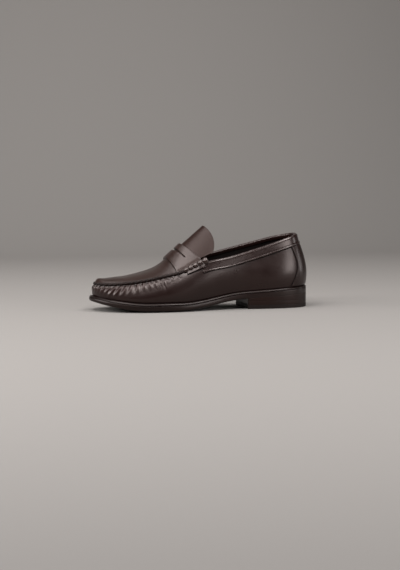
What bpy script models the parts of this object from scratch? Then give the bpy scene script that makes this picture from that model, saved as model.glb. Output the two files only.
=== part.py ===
"""A left leather loafer with a moccasin apron, saddle strap, raised tongue, bound topline and stacked heel.

The toe points to -X and the heel to +X, the outer side of the foot is at -Y, and the floor is z = 0.
Sizes and tables are in millimetres. Stations run from the back of the heel (0) to the tip of the sole.
Heights are above the sole's edge at the tread, which the sole's crown holds a little above the floor.
"""

import bmesh
import bpy
import numpy as np

MM = 0.001

# Driving dimensions
SOLE_LENGTH = 304.0
BALL_WIDTH = 102.0
BACK_HEIGHT = 101.0
HEEL_SEAT_HEIGHT = 18.0
BREAST_STATION = 92.0
TOE_SPRING = 11.7

# Sole and heel
SOLE_EDGE = 10.0
SOLE_EDGE_AT_TOE = 6.8
OUTSOLE_SHARE = 0.66
SEAT_SLOPE = 0.062
SEAT_RUN_ON = 3.0
TREAD_START = 187.0
TREAD_END = 236.0
TOE_SPRING_POWER = 1.6
BREAST_HOLLOW = 2.5
HOLLOW_POWER = 4
TOP_PIECE_THICKNESS = 5.0
LIFT_THICKNESS = 5.0
SOLE_CROWN = 2.0
CROWN_FLAT = 0.5

# Leathers
GAP = 0.3
UPPER_WALL = 2.0
INSOLE_RISE = 2.2
STRAP_THICKNESS = 2.2
BINDING_THICKNESS = 1.2
BINDING_WIDTH = 12.0
TONGUE_THICKNESS = 2.0
SEAM_HEIGHT = 1.6
SEAM_HALF_WIDTH = 2.6
LARGEST_SEAM_SHARE = 0.42
STRAP_GAP = 0.45
ROLL_THICKNESS = 3.0
ROLL_ON_WALL = 5.0
ROLL_ON_APRON = 3.4
STRIP_THICKNESS = 1.0
WELT_UNDERLAP = 3.4

# The sizes that the tables below were drawn at: a change above grades the whole last
TABLE_LENGTH = 304.0
TABLE_BALL_WIDTH = 102.0
TABLE_BACK_HEIGHT = 101.0

# Outline of the sole's edge seen from above, once round: heel, outer side, toe, inner side
SOLE_OUTLINE = (
    # station, across
    (0.0, 0.0),
    (9.0, -21.0),
    (38.0, -34.0),
    (92.0, -34.0),
    (132.0, -37.5),
    (186.0, -50.0),
    (228.0, -51.5),
    (266.0, -42.0),
    (293.0, -22.0),
    (304.0, 3.0),
    (295.0, 26.0),
    (270.0, 42.5),
    (236.0, 49.0),
    (204.0, 48.0),
    (160.0, 36.5),
    (120.0, 29.5),
    (84.0, 30.5),
    (38.0, 34.0),
    (9.0, 21.0),
)
TOE_TIP_ROW = 9

# How far the upper stands in from the sole's edge
WELT_LEDGE = (
    # station, ledge
    (0.0, 2.0),
    (92.0, 2.2),
    (150.0, 3.2),
    (230.0, 4.4),
    (304.0, 5.0),
)

# Ribs of the upper, from the middle of the heel (around = 0) to the middle of the toe (around = 1). Each starts
# at the sole and ends at the upper's top edge: the collar as far as the throat, then the apron's seam.
# Flare and lean are the rib's angles from upright at its foot and at its top, in degrees
RIBS = (
    # around, station, outer side, inner side, height, flare, lean
    (0.00, 15.5, 0.0, 0.0, 99.2, 11.0, 19.0),
    (0.05, 18.5, -11.0, 11.0, 98.2, 11.0, 18.0),
    (0.10, 26.5, -20.0, 20.0, 95.8, 13.0, 16.0),
    (0.16, 42.0, -25.5, 25.5, 91.2, 16.0, 12.0),
    (0.24, 68.0, -29.0, 28.5, 83.2, 17.0, 9.0),
    (0.32, 95.0, -32.0, 31.0, 75.8, 18.0, 10.0),
    (0.41, 125.0, -36.0, 34.0, 68.6, 19.0, 16.0),
    (0.50, 156.0, -39.5, 37.0, 62.6, 21.0, 26.0),
    (0.58, 183.0, -42.4, 40.6, 51.5, 23.0, 27.0),
    (0.66, 209.0, -41.8, 40.3, 45.1, 24.0, 25.0),
    (0.74, 234.0, -38.1, 38.1, 39.8, 24.0, 21.0),
    (0.82, 257.0, -31.9, 33.4, 36.1, 23.0, 18.0),
    (0.89, 277.4, -24.5, 27.0, 34.2, 20.0, 16.0),
    (0.95, 291.6, -13.4, 16.4, 33.9, 17.0, 14.0),
    (1.00, 297.0, 2.0, 2.0, 33.8, 15.0, 12.0),
)
RIB_PULL = 0.38

# How much higher the collar stands on the inner side than on the outer
INNER_RISE = (
    # around, rise
    (0.00, 0.0),
    (0.10, 0.8),
    (0.16, 2.2),
    (0.24, 3.6),
    (0.32, 4.2),
    (0.41, 3.6),
    (0.50, 0.0),
)
THROAT = 0.50
BEAD_START = 0.60
BEAD_FULL = 0.66

# Middle line of the apron, from under the strap to the toe
APRON_RIDGE = (
    # around, station, height
    (0.44, 176.0, 88.0),
    (0.50, 186.0, 79.2),
    (0.58, 199.0, 67.5),
    (0.66, 214.0, 55.7),
    (0.74, 235.0, 48.0),
    (0.82, 257.0, 43.3),
    (0.89, 275.5, 41.7),
    (0.95, 288.5, 41.2),
    (0.985, 295.0, 39.4),
    (1.00, 297.0, 34.0),
)

# Arch of the apron across the foot: a parabola at the strap, fuller and flatter on top at the toe
ARCH_POWER = 2.0
TOE_ARCH_POWER = 4.5
FULL_FROM = 0.62

# Saddle strap: where its edges lie at the middle and at the seam, as shares round the upper
STRAP_FRONT_MIDDLE = 0.585
STRAP_FRONT_SEAM = 0.610
STRAP_BACK_MIDDLE = 0.4575
STRAP_BACK_SEAM = 0.500
ROLL_BACK = 0.500
ROLL_FRONT = 0.570

# Slot across the strap: its half width, how it narrows, how far it reaches to each side, and where it lies
# between the edges, as a share from the back one
SLOT_HALF_WIDTH = 1.9
SLOT_POWER = 1.5
SLOT_REACH = 0.68
SLOT_SHARE = 0.40

# Tongue: its free end in the middle, and the corners that its sides run towards
TONGUE_TIP = (147.5, 0.0, 111.0)
TONGUE_CORNER = (119.5, 31.0, 85.5)
TONGUE_BASE_GAP = 0.002
TONGUE_DROP = 0.6
TONGUE_BASE_HALF = 0.86
TONGUE_END_DROP = 0.5
TONGUE_END_POWER = 4.0

# Strip up the back of the heel: its half width up the wall
HEEL_STRIP = (
    # share of the height, half width as a share round the upper
    (0.00, 0.136),
    (0.35, 0.108),
    (0.60, 0.102),
    (1.00, 0.115),
)
HEEL_STRIP_FOOT = 0.02

# Where the topline binding ends at the throat, and how far it turns over the edge to the inside
BINDING_END = 0.494
BINDING_TURN = 3.0

# Mesh divisions
RIB_STEPS = 44
WALL_STEPS = 8
APRON_STEPS = 10
PLATE_ROWS = 40
HEEL_ROWS = 20
PLATE_COLUMNS = 4
RING_STEPS = 88
STRIP_ROWS = 8
STRIP_COLUMNS = 6
BINDING_ROWS = 32
ROLL_ROWS = 8
TONGUE_ROWS = 8
STRAP_ROWS = 3
END_SHARE = 0.004
FINE_OUTLINE = 4000
OUTLINE_STEP = 0.05
SLOPE_STEP = 1e-4

# Edges that turn more than this are shaded sharp
SHARP_DEGREES = 40.0

# Colours are linear RGB
FINISHES = {
    # name: (colour, roughness)
    "polished_calf": ((0.045, 0.028, 0.024), 0.30),
    "binding_calf": ((0.052, 0.033, 0.029), 0.32),
    "sole_edge": ((0.040, 0.027, 0.023), 0.45),
    "heel_leather": ((0.042, 0.028, 0.024), 0.42),
    "black_rubber": ((0.012, 0.012, 0.012), 0.60),
    "lining": ((0.020, 0.015, 0.013), 0.70),
}


class Smooth:
    """A natural cubic curve through a table's rows, or a closed one where a period is given."""

    def __init__(self, knots, values, period=None):
        self.knots = np.asarray(knots, float)
        self.values = np.asarray(values, float).reshape(len(self.knots), -1)
        self.period = period
        if period:
            self.knots = np.append(self.knots, self.knots[0] + period)
            self.values = np.vstack([self.values, self.values[:1]])
        self.bends = self.second_derivatives()

    def second_derivatives(self):
        steps = np.diff(self.knots)
        slopes = np.diff(self.values, axis=0) / steps[:, None]
        count = len(self.knots)
        matrix = np.zeros((count, count))
        right = np.zeros_like(self.values)
        for i in range(1, count - 1):
            matrix[i, i - 1 : i + 2] = steps[i - 1], 2 * (steps[i - 1] + steps[i]), steps[i]
            right[i] = 6 * (slopes[i] - slopes[i - 1])
        if self.period:
            matrix[0, [0, -1]] = 1, -1
            matrix[-1, [0, 1]] = 2 * steps[0], steps[0]
            matrix[-1, [-2, -1]] = steps[-1], 2 * steps[-1]
            right[-1] = 6 * (slopes[0] - slopes[-1])
        else:
            matrix[0, 0] = matrix[-1, -1] = 1
        return np.linalg.solve(matrix, right)

    def __call__(self, x):
        x = np.asarray(x, float)
        if self.period:
            x = self.knots[0] + np.mod(x - self.knots[0], self.period)
        i = np.clip(np.searchsorted(self.knots, x, side="right") - 1, 0, len(self.knots) - 2)
        step = (self.knots[i + 1] - self.knots[i])[..., None]
        b = (x - self.knots[i])[..., None] / step
        a = 1 - b
        bend = ((a**3 - a) * self.bends[i] + (b**3 - b) * self.bends[i + 1]) * step**2 / 6
        return a * self.values[i] + b * self.values[i + 1] + bend


def graded(station, across, height):
    """Table columns brought to this shoe's length, ball width and back height."""
    return np.column_stack([
        np.asarray(station) * SOLE_LENGTH / TABLE_LENGTH,
        np.asarray(across) * BALL_WIDTH / TABLE_BALL_WIDTH,
        np.asarray(height) * BACK_HEIGHT / TABLE_BACK_HEIGHT,
    ])


def placed(station, across, height):
    """Points with the toe to -X and the floor at zero."""
    x, z = SOLE_LENGTH / 2 - np.asarray(station), np.asarray(height) + SOLE_CROWN
    return np.stack(np.broadcast_arrays(x, across, z), axis=-1)


class Outline:
    """The sole's edge, read by around: 0 at the heel, 1 at the toe by the outer side, 2 at the heel again."""

    def __init__(self):
        station, across = np.array(SOLE_OUTLINE).T
        points = graded(station, across, 0 * station)[:, :2]
        chords = np.linalg.norm(np.diff(np.vstack([points, points[:1]]), axis=0), axis=1)
        knots = np.concatenate([[0], np.cumsum(chords)])
        self.curve = Smooth(knots[:-1], points, period=knots[-1])
        self.along = np.linspace(0, knots[-1], FINE_OUTLINE + 1)
        self.path = self.curve(self.along)
        length = np.concatenate([[0], np.cumsum(np.linalg.norm(np.diff(self.path, axis=0), axis=1))])
        toe = np.interp(knots[TOE_TIP_ROW], self.along, length)
        self.around = np.where(length <= toe, length / toe, 1 + (length - toe) / (length[-1] - toe))

    def __call__(self, around, inset=0.0):
        """Plan points moved in from the edge, and the inward directions there."""
        along = np.interp(np.mod(around, 2.0), self.around, self.along)
        points = self.curve(along)
        tangent = self.curve(along + OUTLINE_STEP) - self.curve(along - OUTLINE_STEP)
        tangent /= np.linalg.norm(tangent, axis=-1, keepdims=True)
        inward = np.stack([-tangent[..., 1], tangent[..., 0]], axis=-1)
        return points + inward * np.asarray(inset)[..., None], inward

    def at_station(self, station, outer):
        """Where the edge passes this station on the outer or on the inner side."""
        half = self.around <= 1 if outer else self.around >= 1
        order = np.argsort(self.path[half, 0])
        return np.interp(station, self.path[half, 0][order], self.around[half][order])


OUTLINE = Outline()
LEDGE = Smooth(*np.array(WELT_LEDGE).T)


def sole_bottom(station):
    """Height of the sole's underside: flat heel seat, arch, flat tread and toe spring."""
    station = np.asarray(station, float)
    seat_end = BREAST_STATION + SEAT_RUN_ON
    seat = HEEL_SEAT_HEIGHT - SEAT_SLOPE * np.minimum(station, seat_end)
    run = TREAD_START - seat_end
    s = np.clip((station - seat_end) / run, 0, 1)
    arch = seat * (1 - 3 * s**2 + 2 * s**3) - SEAT_SLOPE * run * (s - 2 * s**2 + s**3)
    toe = np.clip((station - TREAD_END) / (SOLE_LENGTH - TREAD_END), 0, 1)
    return np.where(s >= 1, 0.0, arch) + TOE_SPRING * toe**TOE_SPRING_POWER


def sole_crown(station):
    """How far the sole's middle stands out below its edges: full at the tread, none at the heel and toe tip."""
    rise = np.clip((station - BREAST_STATION - SEAT_RUN_ON) / (TREAD_START - BREAST_STATION - SEAT_RUN_ON), 0, 1)
    fall = np.clip((SOLE_LENGTH - station) / (SOLE_LENGTH - TREAD_END), 0, 1)
    return SOLE_CROWN * rise**2 * fall


def sole_edge(station):
    """Thickness of the whole edge, welt and outsole together."""
    toe = np.clip((station - TREAD_END) / (SOLE_LENGTH - TREAD_END), 0, 1)
    return SOLE_EDGE + (SOLE_EDGE_AT_TOE - SOLE_EDGE) * toe**2


def sole_top(station):
    """Height of the welt's top."""
    return sole_bottom(station) + sole_edge(station)


def outsole_top(station):
    """Height of the outsole's top, under the welt."""
    return sole_bottom(station) + OUTSOLE_SHARE * sole_edge(station)


def ledge_plan(around, inset):
    """Plan points this far inside the line where the upper meets the sole, and the inward directions."""
    station = OUTLINE(around)[0][..., 0]
    return OUTLINE(around, LEDGE(station)[..., 0] + inset)


def feather(around):
    """The line where the upper meets the sole, and the outward directions along it."""
    plan, inward = ledge_plan(around, 0.0)
    points = placed(plan[..., 0], plan[..., 1], sole_top(plan[..., 0]) + GAP)
    outward = np.stack([inward[..., 0], -inward[..., 1], np.zeros(inward.shape[:-1])], axis=-1)
    return points, outward


def rib_curve():
    """Tops and angles of the ribs as one closed curve: by the outer side to the toe, back by the inner side."""
    table = np.array(RIBS)
    outer = table[:, [0, 1, 2, 4, 5, 6]]
    inner = table[-2:0:-1][:, [0, 1, 3, 4, 5, 6]]
    inner[:, 3] += np.interp(inner[:, 0], *np.array(INNER_RISE).T)
    inner[:, 0] = 2 - inner[:, 0]
    rows = np.vstack([outer, inner])
    tops = graded(rows[:, 1], rows[:, 2], rows[:, 3])
    return Smooth(rows[:, 0], np.column_stack([tops, np.radians(rows[:, 4:])]), period=2.0)


RIB = rib_curve()
RIDGE_TABLE = np.array(APRON_RIDGE)
RIDGE = Smooth(RIDGE_TABLE[:, 0], graded(RIDGE_TABLE[:, 1], 0 * RIDGE_TABLE[:, 1], RIDGE_TABLE[:, 2]))


def top_edge(around):
    """The upper's top edge: the collar behind the throat and the apron's seam in front of it."""
    station, across, height = np.moveaxis(RIB(around)[..., :3], -1, 0)
    return placed(station, across, height)


def wall(around, rise):
    """The side of the upper: around the shoe, and from the sole (rise = 0) to the top edge (rise = 1)."""
    around, rise = np.broadcast_arrays(np.asarray(around, float), np.asarray(rise, float))
    foot, outward = feather(around)
    top = top_edge(around)
    flare, lean = np.moveaxis(RIB(around)[..., 3:], -1, 0)
    up = np.array([0.0, 0.0, 1.0])
    pull = RIB_PULL * np.linalg.norm(top - foot, axis=-1)[..., None]
    low = foot + pull * (outward * np.sin(flare)[..., None] + up * np.cos(flare)[..., None])
    high = top - pull * (up * np.cos(lean)[..., None] - outward * np.sin(lean)[..., None])
    r = rise[..., None]
    return (1 - r) ** 3 * foot + 3 * r * (1 - r) ** 2 * low + 3 * r**2 * (1 - r) * high + r**3 * top


def apron(around, across):
    """The top of the upper, between its two seams: across = -1 on the outer side and 1 on the inner."""
    around, across = np.broadcast_arrays(np.asarray(around, float), np.asarray(across, float))
    outer, inner = top_edge(around), top_edge(2 - around)
    chord, half = (outer + inner) / 2, (inner - outer) / 2
    station, _, height = np.moveaxis(RIDGE(around), -1, 0)
    middle = placed(station, chord[..., 1], height)
    forward = np.clip((around - FULL_FROM) / (1 - FULL_FROM), 0, 1)
    arch = 1 - np.abs(across) ** (ARCH_POWER + (TOE_ARCH_POWER - ARCH_POWER) * forward)
    return chord + half * across[..., None] + (middle - chord) * arch[..., None]


def raised(surface, a, b, distance):
    """Points of a surface moved out along its normal."""
    a, b = np.broadcast_arrays(np.asarray(a, float), np.asarray(b, float))
    along_a = surface(a + SLOPE_STEP, b) - surface(a - SLOPE_STEP, b)
    along_b = surface(a, b + SLOPE_STEP) - surface(a, b - SLOPE_STEP)
    normal = np.cross(along_b, along_a)
    normal /= np.linalg.norm(normal, axis=-1, keepdims=True)
    return surface(a, b) + normal * np.asarray(distance)[..., None]


def rib_length(around):
    """Straight length of a rib, from the sole to the top edge."""
    return np.linalg.norm(top_edge(around) - feather(around)[0], axis=-1)


def seam_half_width(around):
    """Half the distance between the two seams."""
    return np.linalg.norm(top_edge(around) - top_edge(2 - around), axis=-1) / 2


def seam_normal(around):
    """The way out of the shoe along the seam, between the wall's and the apron's."""
    side = np.where(np.mod(around, 2) <= 1, -1.0, 1.0)
    share = np.where(np.mod(around, 2) <= 1, around, 2 - np.mod(around, 2))
    seam = top_edge(around)
    down = wall(around, 1 - SLOPE_STEP) - seam
    inside = apron(share, side * (1 - SLOPE_STEP)) - seam
    down /= np.linalg.norm(down, axis=-1, keepdims=True)
    inside /= np.linalg.norm(inside, axis=-1, keepdims=True)
    normal = np.cross(np.gradient(seam, axis=0), down - inside)
    normal *= np.sign(normal[..., 2:3])
    return normal / np.linalg.norm(normal, axis=-1, keepdims=True)


def material(piece_name, finish):
    """A piece's own material, with the colour and roughness of its finish."""
    colour, roughness = FINISHES[finish]
    made = bpy.data.materials.new(f"{piece_name}_{finish}")
    made.diffuse_color = (*colour, 1.0)
    made.use_nodes = True
    shader = made.node_tree.nodes["Principled BSDF"]
    shader.inputs["Base Color"].default_value = (*colour, 1.0)
    shader.inputs["Roughness"].default_value = roughness
    shader.inputs["Metallic"].default_value = 0.0
    return made


def finished(name, mesh_maker, finish, wall_thickness=None):
    """An object from a bmesh, with an inward wall where a thickness is given."""
    mesh = bpy.data.meshes.new(name)
    mesh_maker.to_mesh(mesh)
    mesh_maker.free()
    mesh.shade_smooth()
    mesh.set_sharp_from_angle(angle=np.radians(SHARP_DEGREES))
    piece = bpy.data.objects.new(name, mesh)
    piece.data.materials.append(material(name, finish))
    bpy.context.scene.collection.objects.link(piece)
    if wall_thickness:
        solidify = piece.modifiers.new("leather", "SOLIDIFY")
        solidify.thickness = wall_thickness * MM
        solidify.offset = -1.0
        solidify.use_even_offset = True
    return piece


def grid_of(maker, points):
    """Vertices of a bmesh for an array of points."""
    flat = [maker.verts.new(p * MM) for p in points.reshape(-1, 3)]
    return np.array(flat, dtype=object).reshape(points.shape[:-1])


def skin(maker, verts, closed=False):
    """Faces over a grid of vertices, facing the side where rows turn left into columns."""
    rows = len(verts)
    for i in range(rows if closed else rows - 1):
        here, there = verts[i], verts[(i + 1) % rows]
        for j in range(verts.shape[1] - 1):
            maker.faces.new((here[j], here[j + 1], there[j + 1], there[j]))


def slab(name, outer, inner, finish, closed=False):
    """A solid between two grids of points, its outer and its inner face. Its rows may close to a ring."""
    maker = bmesh.new()
    front, back = grid_of(maker, outer), grid_of(maker, inner)
    skin(maker, front, closed)
    skin(maker, back[:, ::-1], closed)
    rows, columns = front.shape
    if closed:
        far = [((i, columns - 1), ((i + 1) % rows, columns - 1)) for i in range(rows)]
        near = [(((i + 1) % rows, 0), (i, 0)) for i in range(rows)]
        rim = far + near
    else:
        walk = [(0, j) for j in range(columns)] + [(i, columns - 1) for i in range(1, rows)]
        walk += [(rows - 1, j) for j in range(columns - 2, -1, -1)] + [(i, 0) for i in range(rows - 2, 0, -1)]
        rim = list(zip(walk, walk[1:] + walk[:1]))
    for start, end in rim:
        maker.faces.new((front[end], front[start], back[start], back[end]))
    return finished(name, maker, finish)


def bead_share(length):
    """The seam's half width as a share of a length, which it never fills."""
    return np.minimum(LARGEST_SEAM_SHARE, SEAM_HALF_WIDTH / length)


def plate(name, finish, outer, inner, top, bottom, hollow=0.0, crown=None):
    """A plate between plan points along its outer and its inner edge, ordered from the heel forwards.

    top and bottom give heights by station, hollow curves the front edge in, and crown is how far the middle of
    the underside stands out below its edges, by station.
    """
    forward = np.linspace(0, 1, len(outer))[:, None]
    across = np.linspace(0, 1, PLATE_COLUMNS + 1)[None, :]
    plan = outer[:, None] * (1 - across[..., None]) + inner[:, None] * across[..., None]
    arc = 4 * across * (1 - across)
    station = plan[..., 0] - hollow * forward**HOLLOW_POWER * arc
    under = bottom(station)
    if crown:
        under = under - crown(station) * np.clip((1 - np.abs(2 * across - 1)) / CROWN_FLAT, 0, 1)
    return slab(name, placed(station, plan[..., 1], top(station)), placed(station, plan[..., 1], under), finish)


def build_sole():
    """Outsole, welt and insole."""
    share = (1 - np.cos(np.linspace(0, np.pi, PLATE_ROWS + 1))) / 2
    share = np.clip(share, END_SHARE, 1 - END_SHARE)
    edges = OUTLINE(share)[0], OUTLINE(2 - share)[0]
    plate("outsole", "sole_edge", *edges, outsole_top, sole_bottom, crown=sole_crown)
    plate(
        "insole",
        "lining",
        ledge_plan(share, WELT_UNDERLAP + GAP)[0],
        ledge_plan(2 - share, WELT_UNDERLAP + GAP)[0],
        lambda station: sole_top(station) + INSOLE_RISE,
        lambda station: outsole_top(station) + GAP,
    )
    around = np.arange(RING_STEPS) * 2.0 / RING_STEPS
    plan = np.stack([OUTLINE(around)[0], ledge_plan(around, WELT_UNDERLAP)[0]], axis=1)
    station, across = plan[..., 0], plan[..., 1]
    top = placed(station, across, sole_top(station))
    bottom = placed(station, across, outsole_top(station) + GAP)
    slab("welt", top, bottom, "sole_edge", closed=True)


def level(height):
    """The same height at every station."""
    return lambda station: np.full_like(station, height)


def build_heel():
    """The stacked heel: a wedge under the seat, a leather lift, and the top piece that meets the floor."""
    share = 1 - np.cos(np.linspace(0, np.pi / 2, HEEL_ROWS + 1))
    share = np.maximum(share, END_SHARE)
    outer = OUTLINE(share * OUTLINE.at_station(BREAST_STATION, outer=True))[0]
    inner = OUTLINE(2 - share * (2 - OUTLINE.at_station(BREAST_STATION, outer=False)))[0]
    top_piece = TOP_PIECE_THICKNESS - SOLE_CROWN
    lift_bottom = top_piece + GAP
    lift_top = lift_bottom + LIFT_THICKNESS
    layers = (
        ("heel_top_piece", "black_rubber", level(top_piece), level(-SOLE_CROWN)),
        ("heel_lift", "heel_leather", level(lift_top), level(lift_bottom)),
        ("heel_wedge", "heel_leather", lambda station: sole_bottom(station) - GAP, level(lift_top + GAP)),
    )
    for name, finish, top, bottom in layers:
        plate(name, finish, outer, inner, top, bottom, BREAST_HOLLOW)


def on_wall(around, rise, distance):
    """Points this far out from the wall."""
    return raised(wall, around, rise, distance)


def on_apron(around, across, distance):
    """Points this far out from the apron."""
    return raised(apron, around, across, distance)


def build_tongue():
    """The tongue goes on from the apron's back edge, up and back over the instep, to a rounded free end."""
    across = np.linspace(-1, 1, APRON_STEPS + 1)[None, :]
    base = on_apron(THROAT - TONGUE_BASE_GAP, across * TONGUE_BASE_HALF, -TONGUE_DROP)
    tip, corner = graded(*np.array([TONGUE_TIP, TONGUE_CORNER]).T)
    station, _, height = np.moveaxis(tip + (corner - tip) * (across**2)[..., None], -1, 0)
    end = placed(station, across * corner[1], height)
    reach = 1 - TONGUE_END_DROP * np.abs(across) ** TONGUE_END_POWER
    up = np.linspace(0, 1, TONGUE_ROWS + 1)[:, None] * reach
    points = base + (end - base) * up[..., None]
    maker = bmesh.new()
    skin(maker, grid_of(maker, points[::-1]))
    finished("tongue", maker, "polished_calf", TONGUE_THICKNESS)


def build_strap():
    """The saddle strap over the apron, with a slot across it that narrows to both ends."""
    reach = 1 - (ROLL_ON_APRON + 2 * GAP) / seam_half_width(STRAP_FRONT_SEAM)
    across = np.linspace(-1, 1, 2 * APRON_STEPS + 1)[None, :] * reach
    bend = across**2
    front = STRAP_FRONT_MIDDLE + (STRAP_FRONT_SEAM - STRAP_FRONT_MIDDLE) * bend
    back = STRAP_BACK_MIDDLE + (STRAP_BACK_SEAM - STRAP_BACK_MIDDLE) * bend
    middle = back + (front - back) * SLOT_SHARE
    opening = SLOT_HALF_WIDTH * np.clip(1 - np.abs(across / SLOT_REACH) ** SLOT_POWER, 0, None)
    lens = opening / (np.linalg.norm(apron(front, 0.0) - apron(back, 0.0), axis=-1) / (front - back))
    steps = np.linspace(0, 1, STRAP_ROWS + 1)[:, None]
    maker = bmesh.new()
    for start, end in ((back, middle - lens), (middle + lens, front)):
        points = on_apron(start + (end - start) * steps, across, STRAP_GAP + STRAP_THICKNESS)
        skin(maker, grid_of(maker, points))
    bmesh.ops.remove_doubles(maker, verts=maker.verts, dist=GAP * MM / 10)
    finished("saddle_strap", maker, "polished_calf", STRAP_THICKNESS)


def build_rolls():
    """Rolls of whipped leather that hold the strap's two ends down over the seam."""
    share = np.linspace(ROLL_BACK, ROLL_FRONT, ROLL_ROWS + 1)
    for name, side in (("saddle_roll_outer", -1.0), ("saddle_roll_inner", 1.0)):
        around = share if side < 0 else 2 - share
        out = seam_normal(around)
        low = 1 - ROLL_ON_WALL / rib_length(around)
        high = 1 - ROLL_ON_APRON / seam_half_width(share)

        def face(distance):
            on_side = [on_wall(around, r, distance) for r in (low, (1 + 2 * low) / 3, (2 + low) / 3)]
            seam = top_edge(around) + out * distance
            on_top = [on_apron(share, side * u, distance) for u in ((2 + high) / 3, (1 + 2 * high) / 3, high)]
            return np.stack([*on_side, seam, *on_top], axis=1)

        outer, inner = face(GAP + ROLL_THICKNESS), face(GAP)
        if side > 0:
            outer, inner = outer[::-1], inner[::-1]
        slab(name, outer, inner, "polished_calf")


def build_binding():
    """The binding round the collar: a band down the outside, over the edge, and turned to the inside."""
    around = np.linspace(-BINDING_END, BINDING_END, 2 * BINDING_ROWS + 1)
    length = rib_length(around)
    low, half = 1 - BINDING_WIDTH / length, 1 - BINDING_WIDTH / 2 / length
    turned = 1 - BINDING_TURN / length

    def face(distance):
        up = np.array([0.0, 0.0, 1.0])
        outside = [on_wall(around, r, distance) for r in (low, half, turned, 1.0)]
        inside = [on_wall(around, r, -(UPPER_WALL + distance)) for r in (1.0, turned)]
        over = [top + up * distance for top in (outside[-1], inside[0])]
        return np.stack([*outside[:-1], *over, inside[1]], axis=1)

    slab("topline_binding", face(GAP + BINDING_THICKNESS), face(GAP), "binding_calf")


def build_heel_strip():
    """The strip that covers the upper's back seam, from the sole to the binding."""
    spread = np.linspace(-1, 1, 2 * STRIP_COLUMNS + 1)[:, None]
    up = np.linspace(0, 1, STRIP_ROWS + 1)[None, :]
    half = Smooth(*np.array(HEEL_STRIP).T)(up)[..., 0]
    around = spread * half
    top = 1 - (BINDING_WIDTH + 2 * GAP) / rib_length(around)
    rise = HEEL_STRIP_FOOT + (top - HEEL_STRIP_FOOT) * up
    slab("heel_strip", on_wall(around, rise, GAP + STRIP_THICKNESS), on_wall(around, rise, GAP), "polished_calf")


def build_upper():
    """Walls, toe and apron as one hollow shell, open at the collar, at the throat and underneath."""
    fore = np.linspace(THROAT, 1.0, RIB_STEPS // 2 + 1)
    back = np.linspace(0.0, THROAT, RIB_STEPS // 2, endpoint=False)
    outer = np.concatenate([back, fore])
    around = np.concatenate([outer, 2 - outer[-2:0:-1]])
    throat_row, toe_row = len(back), len(outer) - 1
    steps = np.linspace(0, 1, WALL_STEPS + 1)
    share = bead_share(rib_length(around))
    rise = steps[None, :] * (1 - share[:, None])
    points = wall(around[:, None], rise)
    seam = top_edge(around)
    forward = np.minimum(around, 2 - around)
    bead = SEAM_HEIGHT * np.clip((forward - BEAD_START) / (BEAD_FULL - BEAD_START), 0, 1)
    seam = seam + seam_normal(around) * bead[:, None]
    maker = bmesh.new()
    verts = grid_of(maker, np.concatenate([points, seam[:, None]], axis=1))
    skin(maker, verts, closed=True)
    inner_half = 1 - bead_share(np.maximum(seam_half_width(fore), SEAM_HALF_WIDTH))
    columns = np.linspace(-1, 1, APRON_STEPS + 1)
    top = grid_of(maker, apron(fore[:-1, None], columns[None, :] * inner_half[:-1, None]))
    outer_seam = verts[throat_row:toe_row, -1]
    inner_seam = verts[np.arange(len(around) - throat_row, toe_row, -1) % len(around), -1]
    top = np.concatenate([outer_seam[:, None], top, inner_seam[:, None]], axis=1)
    skin(maker, top)
    apex = verts[toe_row, -1]
    for one, other in zip(top[-1], top[-1][1:]):
        maker.faces.new((one, other, apex))
    return finished("upper", maker, "polished_calf", UPPER_WALL)


def centre_pieces():
    """Parents every piece to an empty that brings the middle of the shoe's box over the origin."""
    bpy.context.view_layer.update()
    graph = bpy.context.evaluated_depsgraph_get()
    pieces = list(bpy.context.scene.objects)
    corners = np.array([corner for piece in pieces for corner in piece.evaluated_get(graph).bound_box])
    middle = (corners.min(axis=0) + corners.max(axis=0)) / 2
    loafer = bpy.data.objects.new("loafer", None)
    loafer.location = (-middle[0], -middle[1], 0.0)
    bpy.context.scene.collection.objects.link(loafer)
    for piece in pieces:
        piece.parent = loafer


def main():
    for old in list(bpy.data.objects):
        bpy.data.objects.remove(old)
    build_sole()
    build_heel()
    build_upper()
    build_tongue()
    build_strap()
    build_rolls()
    build_binding()
    build_heel_strip()
    centre_pieces()


if __name__ == "__main__":
    main()
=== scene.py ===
"""Looks of a left leather loafer: gathered vamp, whipped apron seam, slotted strap, welt and stacked heel.

The toe points to -X and the heel to +X, the outer side of the foot is at -Y, and the floor is z = 0.
Sizes and tables are in millimetres, meshes in metres. Stations run from the back of the heel (0) to the tip
of the sole. Heights are above the sole's edge at the tread, which the sole's crown holds off the floor.
"""

from __future__ import annotations

import logging
import math
from dataclasses import dataclass, field
from enum import Enum
from typing import Callable

import bmesh
import bpy
import numpy as np
from mathutils import Matrix, Vector

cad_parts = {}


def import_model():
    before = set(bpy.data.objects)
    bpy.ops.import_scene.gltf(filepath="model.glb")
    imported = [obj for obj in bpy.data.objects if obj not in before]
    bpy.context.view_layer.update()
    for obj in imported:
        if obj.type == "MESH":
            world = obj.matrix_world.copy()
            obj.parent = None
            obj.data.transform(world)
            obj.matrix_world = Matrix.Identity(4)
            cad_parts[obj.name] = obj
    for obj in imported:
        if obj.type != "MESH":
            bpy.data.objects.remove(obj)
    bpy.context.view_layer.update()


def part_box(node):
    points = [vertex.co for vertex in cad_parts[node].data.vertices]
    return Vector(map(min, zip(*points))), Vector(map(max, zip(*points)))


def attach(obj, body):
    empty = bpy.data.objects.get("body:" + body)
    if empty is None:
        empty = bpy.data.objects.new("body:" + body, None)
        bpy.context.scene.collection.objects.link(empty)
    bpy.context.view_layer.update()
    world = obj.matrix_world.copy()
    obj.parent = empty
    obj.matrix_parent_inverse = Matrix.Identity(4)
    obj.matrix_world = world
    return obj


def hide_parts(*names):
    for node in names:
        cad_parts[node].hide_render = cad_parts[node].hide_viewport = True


Array = np.ndarray
Surface = Callable[[Array, Array], Array]

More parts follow.
